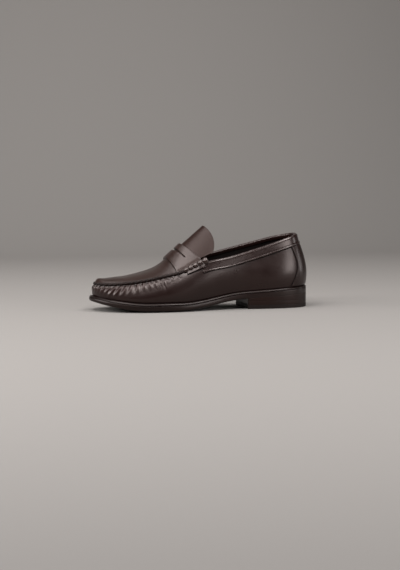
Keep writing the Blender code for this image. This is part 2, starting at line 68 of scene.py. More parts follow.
LOG = logging.getLogger("loafer")
MM = 0.001
UP = np.array([0.0, 0.0, 1.0])
SLOPE_STEP = 1e-4
MERGE_METRES = 1e-6
SLIVER_METRES = 1e-7
INK_SHADOW_EDGE_SIDES = 8

# Sockets of a Mix node that mixes colours, whose names its other kinds share
MIX_A, MIX_B, MIX_RESULT = 6, 7, 2

# Outline of the sole's edge seen from above, once round: heel, outer side, toe, inner side
SOLE_OUTLINE = (
    # station, across
    (0.0, 0.0),
    (9.0, -21.0),
    (38.0, -34.0),
    (92.0, -34.0),
    (132.0, -37.5),
    (186.0, -50.0),
    (228.0, -51.5),
    (266.0, -42.0),
    (293.0, -22.0),
    (304.0, 3.0),
    (295.0, 26.0),
    (270.0, 42.5),
    (236.0, 49.0),
    (204.0, 48.0),
    (160.0, 36.5),
    (120.0, 29.5),
    (84.0, 30.5),
    (38.0, 34.0),
    (9.0, 21.0),
)
TOE_TIP_ROW = 9

# How far the upper stands in from the sole's edge
WELT_LEDGE = (
    # station, ledge
    (0.0, 2.0),
    (92.0, 2.2),
    (150.0, 3.2),
    (230.0, 4.4),
    (304.0, 5.0),
)

# Ribs of the upper from the middle of the heel (around = 0) to the middle of the toe (around = 1), each from
# the sole to the upper's top edge. Flare and lean are its angles from upright at foot and top, in degrees
RIBS = (
    # around, station, outer side, inner side, height, flare, lean
    (0.00, 15.5, 0.0, 0.0, 99.2, 11.0, 19.0),
    (0.05, 18.5, -11.0, 11.0, 98.2, 11.0, 18.0),
    (0.10, 26.5, -20.0, 20.0, 95.8, 13.0, 16.0),
    (0.16, 42.0, -25.5, 25.5, 91.2, 16.0, 12.0),
    (0.24, 68.0, -29.0, 28.5, 83.2, 17.0, 9.0),
    (0.32, 95.0, -32.0, 31.0, 75.8, 18.0, 10.0),
    (0.41, 125.0, -36.0, 34.0, 68.6, 19.0, 16.0),
    (0.50, 156.0, -39.5, 37.0, 62.6, 21.0, 26.0),
    (0.58, 183.0, -42.4, 40.6, 51.5, 23.0, 27.0),
    (0.66, 209.0, -41.8, 40.3, 45.1, 24.0, 25.0),
    (0.74, 234.0, -38.1, 38.1, 39.8, 24.0, 21.0),
    (0.82, 257.0, -31.9, 33.4, 36.1, 23.0, 18.0),
    (0.89, 277.4, -24.5, 27.0, 34.2, 20.0, 16.0),
    (0.95, 291.6, -13.4, 16.4, 33.9, 17.0, 14.0),
    (1.00, 297.0, 2.0, 2.0, 33.8, 15.0, 12.0),
)

# How much higher the collar stands on the inner side than on the outer
INNER_RISE = (
    # around, rise
    (0.00, 0.0),
    (0.10, 0.8),
    (0.16, 2.2),
    (0.24, 3.6),
    (0.32, 4.2),
    (0.41, 3.6),
    (0.50, 0.0),
)

# Middle line of the apron, from under the strap to the toe
APRON_RIDGE = (
    # around, station, height
    (0.44, 176.0, 88.0),
    (0.50, 186.0, 79.2),
    (0.58, 199.0, 67.5),
    (0.66, 214.0, 55.7),
    (0.74, 235.0, 48.0),
    (0.82, 257.0, 43.3),
    (0.89, 275.5, 41.7),
    (0.95, 288.5, 41.2),
    (0.985, 295.0, 39.4),
    (1.00, 297.0, 34.0),
)


class Side(Enum):
    """The two sides of the foot."""

    OUTER = "outer"
    INNER = "inner"

    @property
    def sign(self) -> float:
        """1 on the outer side and -1 on the inner."""
        return 1.0 if self is Side.OUTER else -1.0

    def around(self, share: Array) -> Array:
        """Places round the shoe, for shares of the way from heel to toe on this side, or back again."""
        return share if self is Side.OUTER else 2 - share


def unit(vectors: Array) -> Array:
    """Vectors brought to length one."""
    return vectors / np.maximum(np.linalg.norm(vectors, axis=-1, keepdims=True), 1e-12)


def smooth_step(low: float, high: float, x: Array) -> Array:
    """A soft step from 0 at low to 1 at high."""
    t = np.clip((np.asarray(x, float) - low) / (high - low), 0.0, 1.0)
    return t * t * (3 - 2 * t)


class Smooth:
    """A natural cubic curve through a table's rows, or a closed one where a period is given."""

    def __init__(self, knots: Array, values: Array, period: float | None = None) -> None:
        """Fit the curve.

        Args:
            knots: where each row lies along the curve.
            values: the rows.
            period: length of a closed curve.
        """
        self.knots = np.asarray(knots, float)
        self.values = np.asarray(values, float).reshape(len(self.knots), -1)
        self.period = period
        if period:
            self.knots = np.append(self.knots, self.knots[0] + period)
            self.values = np.vstack([self.values, self.values[:1]])
        self.bends = self.second_derivatives()

    def second_derivatives(self) -> Array:
        """Solve for the curve's bend at each knot.

        Returns:
            One row of second derivatives for each knot.
        """
        steps = np.diff(self.knots)
        slopes = np.diff(self.values, axis=0) / steps[:, None]
        count = len(self.knots)
        matrix = np.zeros((count, count))
        right = np.zeros_like(self.values)
        for i in range(1, count - 1):
            matrix[i, i - 1 : i + 2] = steps[i - 1], 2 * (steps[i - 1] + steps[i]), steps[i]
            right[i] = 6 * (slopes[i] - slopes[i - 1])
        if self.period:
            matrix[0, [0, -1]] = 1, -1
            matrix[-1, [0, 1]] = 2 * steps[0], steps[0]
            matrix[-1, [-2, -1]] = steps[-1], 2 * steps[-1]
            right[-1] = 6 * (slopes[0] - slopes[-1])
        else:
            matrix[0, 0] = matrix[-1, -1] = 1
        return np.linalg.solve(matrix, right)

    def __call__(self, x: Array) -> Array:
        """Read the curve.

        Args:
            x: places along the curve.

        Returns:
            The rows there.
        """
        x = np.asarray(x, float)
        if self.period:
            x = self.knots[0] + np.mod(x - self.knots[0], self.period)
        i = np.clip(np.searchsorted(self.knots, x, side="right") - 1, 0, len(self.knots) - 2)
        step = (self.knots[i + 1] - self.knots[i])[..., None]
        b = (x - self.knots[i])[..., None] / step
        a = 1 - b
        bend = ((a**3 - a) * self.bends[i] + (b**3 - b) * self.bends[i + 1]) * step**2 / 6
        return a * self.values[i] + b * self.values[i + 1] + bend


@dataclass
class Last:
    """The shoe's form. Around runs 0 at the heel, 1 at the toe by the outer side, 2 at the heel again."""

    length: float = 304.0
    heel_seat: float = 18.0
    seat_slope: float = 0.062
    breast: float = 92.0
    seat_end: float = 95.0
    tread_start: float = 187.0
    tread_end: float = 236.0
    toe_spring: float = 11.7
    toe_spring_power: float = 1.6
    edge: float = 10.0
    edge_at_toe: float = 6.8
    outsole_share: float = 0.66
    crown: float = 2.0
    rib_pull: float = 0.38
    arch_power: float = 2.0
    toe_arch_power: float = 4.5
    full_from: float = 0.62
    gap: float = 0.3
    outline_steps: int = 4000
    tangent_step: float = 0.05
    shift: Array = field(default_factory=lambda: np.zeros(3))

    def __post_init__(self) -> None:
        """Fit the curves through the tables and bring the form to the frame's own place."""
        self.fit_outline()
        self.ledge = Smooth(*np.array(WELT_LEDGE).T)
        table = np.array(RIBS)
        outer = table[:, [0, 1, 2, 4, 5, 6]]
        inner = table[-2:0:-1][:, [0, 1, 3, 4, 5, 6]]
        inner[:, 3] += np.interp(inner[:, 0], *np.array(INNER_RISE).T)
        inner[:, 0] = 2 - inner[:, 0]
        rows = np.vstack([outer, inner])
        rows[:, 4:] = np.radians(rows[:, 4:])
        self.ribs = Smooth(rows[:, 0], rows[:, 1:], period=2.0)
        ridge = np.array(APRON_RIDGE)
        self.ridge = Smooth(ridge[:, 0], ridge[:, 1:])
        low, high = (np.array(corner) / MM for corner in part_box("outsole"))
        across = self.path[:, 1]
        self.shift = np.array([
            (low[0] + high[0] - self.length + self.path[:, 0].min() + self.path[:, 0].max()) / 2,
            (low[1] + high[1] - across.min() - across.max()) / 2,
            0.0,
        ])

    def fit_outline(self) -> None:
        """Fit the sole's outline and measure how around runs along it."""
        points = np.array(SOLE_OUTLINE)
        chords = np.linalg.norm(np.diff(np.vstack([points, points[:1]]), axis=0), axis=1)
        knots = np.concatenate([[0], np.cumsum(chords)])
        self.outline = Smooth(knots[:-1], points, period=knots[-1])
        self.along = np.linspace(0, knots[-1], self.outline_steps + 1)
        self.path = self.outline(self.along)
        run = np.concatenate([[0], np.cumsum(np.linalg.norm(np.diff(self.path, axis=0), axis=1))])
        toe = np.interp(knots[TOE_TIP_ROW], self.along, run)
        self.around = np.where(run <= toe, run / toe, 1 + (run - toe) / (run[-1] - toe))

    def plan(self, around: Array, inset: Array | float = 0.0) -> tuple[Array, Array]:
        """Read the sole's outline.

        Args:
            around: places round the shoe.
            inset: distance in from the edge.

        Returns:
            Stations and places across, and the inward directions there.
        """
        along = np.interp(np.mod(around, 2.0), self.around, self.along)
        points = self.outline(along)
        tangent = unit(self.outline(along + self.tangent_step) - self.outline(along - self.tangent_step))
        inward = np.stack([-tangent[..., 1], tangent[..., 0]], axis=-1)
        return points + inward * np.asarray(inset)[..., None], inward

    def at_station(self, station: float, side: Side) -> float:
        """Where the outline passes a station on one side.

        Args:
            station: a place along the shoe.
            side: the side of the foot.

        Returns:
            The place round the shoe.
        """
        half = self.around <= 1 if side is Side.OUTER else self.around >= 1
        order = np.argsort(self.path[half, 0])
        return float(np.interp(station, self.path[half, 0][order], self.around[half][order]))

    def placed(self, station: Array, across: Array, height: Array) -> Array:
        """Bring points to the frame's place.

        Args:
            station: places along the shoe.
            across: places across it, the inner side positive.
            height: heights above the sole's edge at the tread.

        Returns:
            Points in millimetres.
        """
        x = self.length / 2 - np.asarray(station)
        z = np.asarray(height) + self.crown
        return np.stack(np.broadcast_arrays(x, across, z), axis=-1) + self.shift

    def toe_run(self, station: Array) -> Array:
        """Share of the way from the tread's end to the tip."""
        return np.clip((station - self.tread_end) / (self.length - self.tread_end), 0, 1)

    def sole_bottom(self, station: Array) -> Array:
        """Height of the sole's underside at its edge.

        Args:
            station: places along the shoe.

        Returns:
            Heights: sloping heel seat, arch, flat tread and toe spring.
        """
        station = np.asarray(station, float)
        seat = self.heel_seat - self.seat_slope * np.minimum(station, self.seat_end)
        run = self.tread_start - self.seat_end
        s = np.clip((station - self.seat_end) / run, 0, 1)
        arch = seat * (1 - 3 * s**2 + 2 * s**3) - self.seat_slope * run * (s - 2 * s**2 + s**3)
        spring = self.toe_spring * self.toe_run(station) ** self.toe_spring_power
        return np.where(s >= 1, 0.0, arch) + spring

    def sole_crown(self, station: Array) -> Array:
        """How far the sole's middle stands out below its edges."""
        rise = np.clip((station - self.seat_end) / (self.tread_start - self.seat_end), 0, 1)
        return self.crown * rise**2 * (1 - self.toe_run(station))

    def sole_edge(self, station: Array) -> Array:
        """Thickness of welt and outsole together."""
        return self.edge + (self.edge_at_toe - self.edge) * self.toe_run(station) ** 2

    def sole_top(self, station: Array) -> Array:
        """Height of the welt's top."""
        return self.sole_bottom(station) + self.sole_edge(station)

    def outsole_top(self, station: Array) -> Array:
        """Height of the outsole's top."""
        return self.sole_bottom(station) + self.outsole_share * self.sole_edge(station)

    def ledge_plan(self, around: Array, inset: Array | float) -> Array:
        """Stations and places across, this far inside the line where the upper meets the sole."""
        station = self.plan(around)[0][..., 0]
        return self.plan(around, self.ledge(station)[..., 0] + inset)[0]

    def feather(self, around: Array) -> tuple[Array, Array]:
        """The line where the upper meets the sole.

        Args:
            around: places round the shoe.

        Returns:
            Points on the line and the level outward directions.
        """
        plan = self.ledge_plan(around, 0.0)
        inward = self.plan(around)[1]
        points = self.placed(plan[..., 0], plan[..., 1], self.sole_top(plan[..., 0]) + self.gap)
        outward = np.stack([inward[..., 0], -inward[..., 1], np.zeros(inward.shape[:-1])], axis=-1)
        return points, outward

    def top_edge(self, around: Array) -> Array:
        """The upper's top edge: the collar behind the throat and the apron's seam in front of it."""
        station, across, height = np.moveaxis(self.ribs(around)[..., :3], -1, 0)
        return self.placed(station, across, height)

    def wall(self, around: Array, rise: Array) -> Array:
        """The side of the upper.

        Args:
            around: places round the shoe.
            rise: 0 at the sole to 1 at the top edge.

        Returns:
            Points on the outer face.
        """
        around, rise = np.broadcast_arrays(np.asarray(around, float), np.asarray(rise, float))
        foot, outward = self.feather(around)
        top = self.top_edge(around)
        flare, lean = np.moveaxis(self.ribs(around)[..., 3:], -1, 0)
        pull = self.rib_pull * np.linalg.norm(top - foot, axis=-1)[..., None]
        low = foot + pull * (outward * np.sin(flare)[..., None] + UP * np.cos(flare)[..., None])
        high = top - pull * (UP * np.cos(lean)[..., None] - outward * np.sin(lean)[..., None])
        r = rise[..., None]
        return (1 - r) ** 3 * foot + 3 * r * (1 - r) ** 2 * low + 3 * r**2 * (1 - r) * high + r**3 * top

    def apron(self, around: Array, across: Array) -> Array:
        """The top of the upper, between its two seams.

        Args:
            around: places from the throat to the toe.
            across: -1 on the outer side to 1 on the inner.

        Returns:
            Points on the outer face.
        """
        around, across = np.broadcast_arrays(np.asarray(around, float), np.asarray(across, float))
        outer, inner = self.top_edge(around), self.top_edge(2 - around)
        chord, half = (outer + inner) / 2, (inner - outer) / 2
        station, height = np.moveaxis(self.ridge(around), -1, 0)
        middle = self.placed(station, chord[..., 1] - self.shift[1], height)
        forward = np.clip((around - self.full_from) / (1 - self.full_from), 0, 1)
        arch = 1 - np.abs(across) ** (self.arch_power + (self.toe_arch_power - self.arch_power) * forward)
        return chord + half * across[..., None] + (middle - chord) * arch[..., None]

    def normal(self, surface: Surface, a: Array, b: Array) -> Array:
        """Find the directions out of a surface.

        Args:
            surface: the wall or the apron.
            a: places round the shoe.
            b: the surface's second places.

        Returns:
            Directions of length one.
        """
        a, b = np.broadcast_arrays(np.asarray(a, float), np.asarray(b, float))
        along_a = surface(a + SLOPE_STEP, b) - surface(a - SLOPE_STEP, b)
        along_b = surface(a, b + SLOPE_STEP) - surface(a, b - SLOPE_STEP)
        return unit(np.cross(along_b, along_a))

    def raised(self, surface: Surface, a: Array, b: Array, distance: Array | float) -> Array:
        """Points of a surface moved out along its normal."""
        a, b = np.broadcast_arrays(np.asarray(a, float), np.asarray(b, float))
        return surface(a, b) + self.normal(surface, a, b) * np.asarray(distance)[..., None]

    def rib_length(self, around: Array) -> Array:
        """Straight length of a rib, from the sole to the top edge."""
        return np.linalg.norm(self.top_edge(around) - self.feather(around)[0], axis=-1)

    def seam_half_width(self, around: Array) -> Array:
        """Half the distance between the two seams."""
        return np.linalg.norm(self.top_edge(around) - self.top_edge(2 - around), axis=-1) / 2

    def seam_frame(self, around: Array) -> tuple[Array, Array, Array]:
        """Directions along the apron's seam.

        Args:
            around: places along the seam.

        Returns:
            The seam's points, the way out of the shoe, and the way over from the wall to the apron.
        """
        around = np.asarray(around, float)
        seam = self.top_edge(around)
        run = unit(self.top_edge(around + SLOPE_STEP) - self.top_edge(around - SLOPE_STEP))
        out = self.normal(self.wall, around, np.ones_like(around)) + UP
        out = unit(out - run * (out * run).sum(-1, keepdims=True))
        return seam, out, np.cross(run, out)


class Slot(Enum):
    """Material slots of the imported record."""

    UPPER = "upper_leather"
    BINDING = "binding_leather"
    SOLE = "sole_leather"
    HEEL = "heel_leather"
    RUBBER = "heel_rubber"
    LINING = "lining_leather"


def lay_grid(
    maker: bmesh.types.BMesh, columns: int, rows: int, place: Surface, crest_burnish_and_sheen: Surface | None = None
) -> None:
    """Lay a grid of faces on a surface, with its UV map running 0 to 1 along both ways.

    Args:
        maker: the mesh that takes the grid.
        columns: faces along u.
        rows: faces along v.
        place: gives points in millimetres for arrays of u and v; the faces look along du x dv.
        crest_burnish_and_sheen: gives, 0 to 1 for arrays of u and v, how far a gather's crest is burnished
            and lightened as a painted highlight.
    """
    if not maker.loops.layers.uv:
        maker.loops.layers.uv.new("UVMap")
    layer = maker.verts.layers.float.new("crest_burnish_and_sheen") if crest_burnish_and_sheen else None
    made = bmesh.ops.create_grid(maker, x_segments=columns, y_segments=rows, size=0.5, calc_uvs=True)["verts"]
    u, v = np.clip(np.array([vert.co[:2] for vert in made]) + 0.5, 0.0, 1.0).T
    for vert, point in zip(made, place(u, v) * MM):
        vert.co = point
    if crest_burnish_and_sheen:
        for vert, share in zip(made, crest_burnish_and_sheen(u, v)):
            vert[layer] = share


def new_sheet(columns: int, rows: int, place: Surface, crest_burnish_and_sheen: Surface | None = None) -> bmesh.types.BMesh:
    """Lay one grid of faces in a new mesh.

    Args:
        columns: faces along u.
        rows: faces along v.
        place: gives the points, as for lay_grid.
        crest_burnish_and_sheen: gives the crests' burnish and painted highlight, as for lay_grid.

    Returns:
        The mesh.
    """
    maker = bmesh.new()
    lay_grid(maker, columns, rows, place, crest_burnish_and_sheen)
    return maker


def lay_tube(maker: bmesh.types.BMesh, path: Array, lift: Array, radius: Array, sides: int) -> None:
    """Lay a tube along a path. A radius of zero at an end draws it to a point.

    Args:
        maker: the mesh that takes the tube.
        path: points along the middle.
        lift: a direction across the path at each point.
        radius: the tube's radius at each point.
        sides: faces round the tube.
    """
    run = unit(np.gradient(path, axis=0))
    lift = unit(lift - run * (lift * run).sum(-1, keepdims=True))
    side = np.cross(run, lift)
    steps = len(path) - 1

    def place(u: Array, v: Array) -> Array:
        """A point of the tube's skin.

        Args:
            u: 0 to 1 round the tube.
            v: 0 to 1 along it.

        Returns:
            Points in millimetres.
        """
        i = np.rint(v * steps).astype(int)
        angle = 2 * math.pi * u[:, None]
        return path[i] + radius[i, None] * (lift[i] * np.cos(angle) + side[i] * np.sin(angle))

    lay_grid(maker, sides, steps, place)


def lay_ink_shadow_edge(maker: bmesh.types.BMesh, path: Array, lift: Array, radius: float) -> None:
    """Lay a thin dark tube along a path: the inked edge of cut leather, with a painted shadow line where that
    edge stands off the leather under it.
    """
    lay_tube(maker, path, lift, np.full(len(path), radius), INK_SHADOW_EDGE_SIDES)


@dataclass(frozen=True)
class Edging:
    """How a sheet is finished into leather: its thickness, and how its cut edges are rounded."""

    thickness: float
    rounding: float = 0.0
    rounding_steps: int = 3
    sharp_degrees: float = 50.0

    def apply(self, piece: bpy.types.Object) -> None:
        """Give a sheet its inward thickness and round its edges.

        Args:
            piece: the sheet.
        """
        solid = piece.modifiers.new("leather", "SOLIDIFY")
        solid.thickness = self.thickness * MM
        solid.offset = -1.0
        solid.use_even_offset = True
        if self.rounding:
            bevel = piece.modifiers.new("edges", "BEVEL")
            bevel.affect = "EDGES"
            bevel.width = self.rounding * MM
            bevel.segments = self.rounding_steps
            bevel.profile = 0.5
            bevel.material = -1
            bevel.limit_method = "ANGLE"
            bevel.angle_limit = math.radians(self.sharp_degrees)


def new_object(name: str, maker: bmesh.types.BMesh, finish: bpy.types.Material) -> bpy.types.Object:
    """Make a mesh a smooth object of the scene.

    Args:
        name: the object's name.
        maker: its mesh, which is used up.
        finish: its material.

    Returns:
        The object.
    """
    mesh = bpy.data.meshes.new(name)
    maker.to_mesh(mesh)
    maker.free()
    mesh.shade_smooth()
    mesh.materials.append(finish)
    made = bpy.data.objects.new(name, mesh)
    bpy.context.scene.collection.objects.link(made)
    return made


def add_piece(
    name: str,
    maker: bmesh.types.BMesh,
    finish: bpy.types.Material,
    replaced: tuple[str, ...] = (),
    edging: Edging | None = None,
) -> bpy.types.Object:
    """Make a mesh an object that rides with the shoe.

    Args:
        name: the piece's name.
        maker: its mesh, which is used up.
        finish: its material.
        replaced: the frame's nodes that it stands for.
        edging: how an open sheet gets its thickness; without one the mesh is closed already.

    Returns:
        The object.
    """
    bmesh.ops.remove_doubles(maker, verts=maker.verts, dist=MERGE_METRES)
    bmesh.ops.dissolve_degenerate(maker, edges=maker.edges, dist=SLIVER_METRES)
    if edging is None:
        bmesh.ops.recalc_face_normals(maker, faces=maker.faces)
    piece = new_object(name, maker, finish)
    if edging:
        edging.apply(piece)
    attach(piece, "root")
    if replaced:
        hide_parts(*replaced)
    LOG.info("%s: %d faces", name, len(piece.data.polygons))
    return piece


def linear(hex_colour: str) -> tuple[float, float, float, float]:
    """An sRGB hex colour as linear RGBA."""
    shares = (int(hex_colour[i : i + 2], 16) / 255 for i in (1, 3, 5))
    return (*(s / 12.92 if s <= 0.04045 else ((s + 0.055) / 1.055) ** 2.4 for s in shares), 1.0)


def add_node(
    tree: bpy.types.NodeTree, kind: str, inputs: dict[str | int, object] | None = None, **settings: object
) -> bpy.types.Node:
    """Add a shader node with its settings, values and links.

    Args:
        tree: the material's nodes.
        kind: the node's type without its ShaderNode prefix.
        inputs: a value, or a socket to link, for each input.
        settings: the node's own properties.

    Returns:
        The node.
    """
    node = tree.nodes.new("ShaderNode" + kind)
    for name, value in settings.items():
        setattr(node, name, value)
    for name, value in (inputs or {}).items():
        if isinstance(value, bpy.types.NodeSocket):
            tree.links.new(value, node.inputs[name])
        else:
            node.inputs[name].default_value = value
    return node


def per_metre(size: float) -> float:
    """A texture's scale for a pattern that repeats every so many millimetres."""
    return 1.0 / (size * MM)


@dataclass(frozen=True)
class Finish:
    """What every finish has: a name, its colours and its gloss."""

    name: str
    colour: str
    dark: str
    roughness: float
    ior: float = 1.5
    gloss_tint: str = "#f8e4de"
    coat: float = 0.0
    coat_roughness: float = 0.2

    def material(self) -> bpy.types.Material:
        """Make the material.

        Returns:
            A material whose pattern the finish's own dress method drew.
        """
        made = bpy.data.materials.new(self.name)
        made.use_nodes = True
        shader = made.node_tree.nodes["Principled BSDF"]
        made.diffuse_color = linear(self.colour)
        shader.inputs["Base Color"].default_value = linear(self.colour)
        shader.inputs["Roughness"].default_value = self.roughness
        shader.inputs["IOR"].default_value = self.ior
        shader.inputs["Specular Tint"].default_value = linear(self.gloss_tint)
        shader.inputs["Coat Weight"].default_value = self.coat
        shader.inputs["Coat Roughness"].default_value = self.coat_roughness
        self.dress(made.node_tree, shader)
        return made

    def dress(self, tree: bpy.types.NodeTree, shader: bpy.types.Node) -> None:
        """Draw the finish's pattern; plain here."""

    def link(self, tree: bpy.types.NodeTree, shader: bpy.types.Node, **outputs: bpy.types.NodeSocket) -> None:
        """Link pattern outputs to the shader, by input name with _ for a space."""
        for name, output in outputs.items():
            tree.links.new(output, shader.inputs[name.replace("_", " ")])


@dataclass(frozen=True)
class PolishedCalf(Finish):
    """Smooth calf, dyed dark and brushed with wax: a soft gloss, clouded dye, and pores close up.

    Real pores lie about 0.2 mm apart and are drawn coarser here, so that they show.
    """

    ior: float = 1.4
    cloud: float = 38.0
    pore: float = 0.9
    pore_depth: float = 0.05
    pore_strength: float = 0.25
    polish_patch: float = 14.0
    patch_spread: tuple[float, float] = (0.3, 0.7)
    patch_gloss: tuple[float, float] = (-0.04, 0.05)
    # Colour of the gathers' crests: burnished, and lighter as a painted highlight
    crest_burnish_and_sheen_colour: str = "#1f110f"

    def dress(self, tree: bpy.types.NodeTree, shader: bpy.types.Node) -> None:
        """Draw clouded dye, the gathers' crests burnished and lightened as a painted highlight, uneven polish
        and pores.

        Args:
            tree: the material's nodes.
            shader: its Principled BSDF.
        """
        place = add_node(tree, "TexCoord").outputs["Object"]
        cloud = add_node(tree, "TexNoise", {"Vector": place, "Scale": per_metre(self.cloud), "Detail": 4.0})
        dye = add_node(
            tree,
            "Mix",
            {"Factor": cloud.outputs["Fac"], MIX_A: linear(self.dark), MIX_B: linear(self.colour)},
            data_type="RGBA",
        )
        crest_burnish_and_sheen = add_node(tree, "Attribute", attribute_name="crest_burnish_and_sheen")
        # Base colour lighter on the crests: burnish and painted highlight together
        burnished_and_sheened = add_node(
            tree,
            "Mix",
            {"Factor": crest_burnish_and_sheen.outputs["Fac"], MIX_A: dye.outputs[MIX_RESULT], MIX_B: linear(self.crest_burnish_and_sheen_colour)},
            data_type="RGBA",
        )
        patch = add_node(
            tree, "TexNoise", {"Vector": place, "Scale": per_metre(self.polish_patch), "Detail": 3.0}
        )
        gloss = add_node(
            tree,
            "MapRange",
            {
                "Value": patch.outputs["Fac"],
                "From Min": self.patch_spread[0],
                "From Max": self.patch_spread[1],
                "To Min": self.roughness + self.patch_gloss[0],
                "To Max": self.roughness + self.patch_gloss[1],
            },
        )
        pores = add_node(tree, "TexVoronoi", {"Vector": place, "Scale": per_metre(self.pore)})
        bump = add_node(
            tree,
            "Bump",
            {
                "Height": pores.outputs["Distance"],
                "Strength": self.pore_strength,
                "Distance": self.pore_depth * MM,
            },
        )
        self.link(
            tree,
            shader,
            Base_Color=burnished_and_sheened.outputs[MIX_RESULT],
            Roughness=gloss.outputs["Result"],
            Normal=bump.outputs["Normal"],
        )


@dataclass(frozen=True)
class LayeredEdge(Finish):
    """Stacked sole leather, trimmed, stained and waxed: fine level lines, half matt."""

    line: float = 0.045
    line_depth: float = 0.12
    line_strength: float = 0.35
    line_breaks: float = 6.0
    smear: float = 60.0
    stain_spread: tuple[float, float] = (0.12, 0.42)

    def dress(self, tree: bpy.types.NodeTree, shader: bpy.types.Node) -> None:
        """Draw level lines that run along the edge, by the piece's own UV map.

        Args:
            tree: the material's nodes.
            shader: its Principled BSDF.
        """
        chart = add_node(tree, "TexCoord").outputs["UV"]
        scale = (1.0 / self.line, self.line_breaks, 1.0)
        stretched = add_node(tree, "Mapping", {"Vector": chart, "Scale": scale}).outputs["Vector"]
        lines = add_node(tree, "TexNoise", {"Vector": stretched, "Scale": 1.0, "Detail": 5.0}).outputs["Fac"]
        place = add_node(tree, "TexCoord").outputs["Object"]
        smear = add_node(tree, "TexNoise", {"Vector": place, "Scale": per_metre(self.smear), "Detail": 2.0})
        share = add_node(tree, "Math", {0: lines, 1: smear.outputs["Fac"]}, operation="MULTIPLY")
        low, high = self.stain_spread
        spread = add_node(tree, "MapRange", {"Value": share.outputs[0], "From Min": low, "From Max": high})
        stain = add_node(
            tree,
            "Mix",
            {"Factor": spread.outputs["Result"], MIX_A: linear(self.dark), MIX_B: linear(self.colour)},
            data_type="RGBA",
        )
        bump = add_node(
            tree,
            "Bump",
            {"Height": lines, "Strength": self.line_strength, "Distance": self.line_depth * MM},
        )
        self.link(tree, shader, Base_Color=stain.outputs[MIX_RESULT], Normal=bump.outputs["Normal"])


@dataclass(frozen=True)
class Grained(Finish):
    """A dull, even surface with one fine grain, such as lining leather, heel rubber or waxed thread."""

    grain: float = 1.2
    grain_depth: float = 0.08
    grain_strength: float = 0.4
    cloud: float = 25.0

    def dress(self, tree: bpy.types.NodeTree, shader: bpy.types.Node) -> None:
        """Draw the grain and a faint clouding.

        Args:
            tree: the material's nodes.
            shader: its Principled BSDF.
        """
        place = add_node(tree, "TexCoord").outputs["Object"]
        cloud = add_node(tree, "TexNoise", {"Vector": place, "Scale": per_metre(self.cloud), "Detail": 3.0})
        tone = add_node(
            tree,
            "Mix",
            {"Factor": cloud.outputs["Fac"], MIX_A: linear(self.dark), MIX_B: linear(self.colour)},
            data_type="RGBA",
        )
        grain = add_node(tree, "TexNoise", {"Vector": place, "Scale": per_metre(self.grain), "Detail": 4.0})
        bump = add_node(
            tree,
            "Bump",
            {
                "Height": grain.outputs["Fac"],
                "Strength": self.grain_strength,
                "Distance": self.grain_depth * MM,
            },
        )
        self.link(tree, shader, Base_Color=tone.outputs[MIX_RESULT], Normal=bump.outputs["Normal"])


class Leathers:
    """The shoe's finishes, each made once."""

    def __init__(self) -> None:
        """Make the materials, named for what each is."""
        # Waxed and brushed calf: nearly black brown with a soft sheen
        self.calf = PolishedCalf("polished_calf", "#190c0a", "#110706", 0.31, coat=0.12).material()
        # Thin calf ironed over the collar's edge: a brighter, sharper sheen
        self.binding = PolishedCalf("binding_calf", "#1d100e", "#140a09", 0.26, coat=0.12).material()
        # Calf drawn smooth over the instep: its base a shade lighter, painted light of the shoe's lit top,
        # and evenly lit
        self.apron = PolishedCalf("apron_calf", "#231511", "#190f0c", 0.33, coat=0.14).material()
        # Softer calf with little wax: an even, duller face, its base a shade lighter as painted light of the
        # lit top
        self.tongue = PolishedCalf("tongue_calf", "#21120e", "#170b08", 0.38, ior=1.32, pore=1.4).material()
        # Calf of the whipped seam: its base darker than the vamp's, painted shade for the seam's recess
        seam = PolishedCalf("seam_calf_painted_shade", "#120908", "#0b0504", 0.36, ior=1.28, pore=0.6)
        self.seam = seam.material()
        # Calf of the rolls, burnished where hands rub it and a shade lighter as painted light on the lumps;
        # its gloss gives each lump small bright points
        rolled = PolishedCalf("burnished_and_lit_roll_calf", "#21130f", "#160c0a", 0.28, ior=1.5, coat=0.3)
        self.rolled = rolled.material()
        # Trimmed sole leather, inked and waxed: dark and half matt
        self.edge = LayeredEdge("waxed_sole_edge", "#140a08", "#0b0504", 0.38, ior=1.32, coat=0.1).material()
        # Sole leather glued in layers and stained: level lines round the heel
        self.stack = LayeredEdge("stacked_heel_leather", "#1a0e0b", "#0d0605", 0.42, ior=1.28).material()
        # Moulded rubber: matt, almost black
        self.rubber = Grained("heel_rubber", "#100a09", "#0c0807", 0.55, ior=1.28).material()
        # Unpolished lining leather: dull and dark inside the shoe
        self.lining = Grained("lining_leather", "#100c0b", "#0b0808", 0.62, ior=1.25).material()
        # Waxed linen thread: dull, its twist drawn coarser than it is so that it shows
        self.thread = Grained("waxed_thread", "#0f0908", "#0a0606", 0.5, ior=1.3, grain=0.3).material()
        # Cut leather painted with ink, and painted shadow under it: the darkest line under a binding, strip
        # or tab
        self.ink_shadow_edge = Grained("inked_edge_painted_shadow", "#0b0706", "#080505", 0.6, ior=1.2).material()


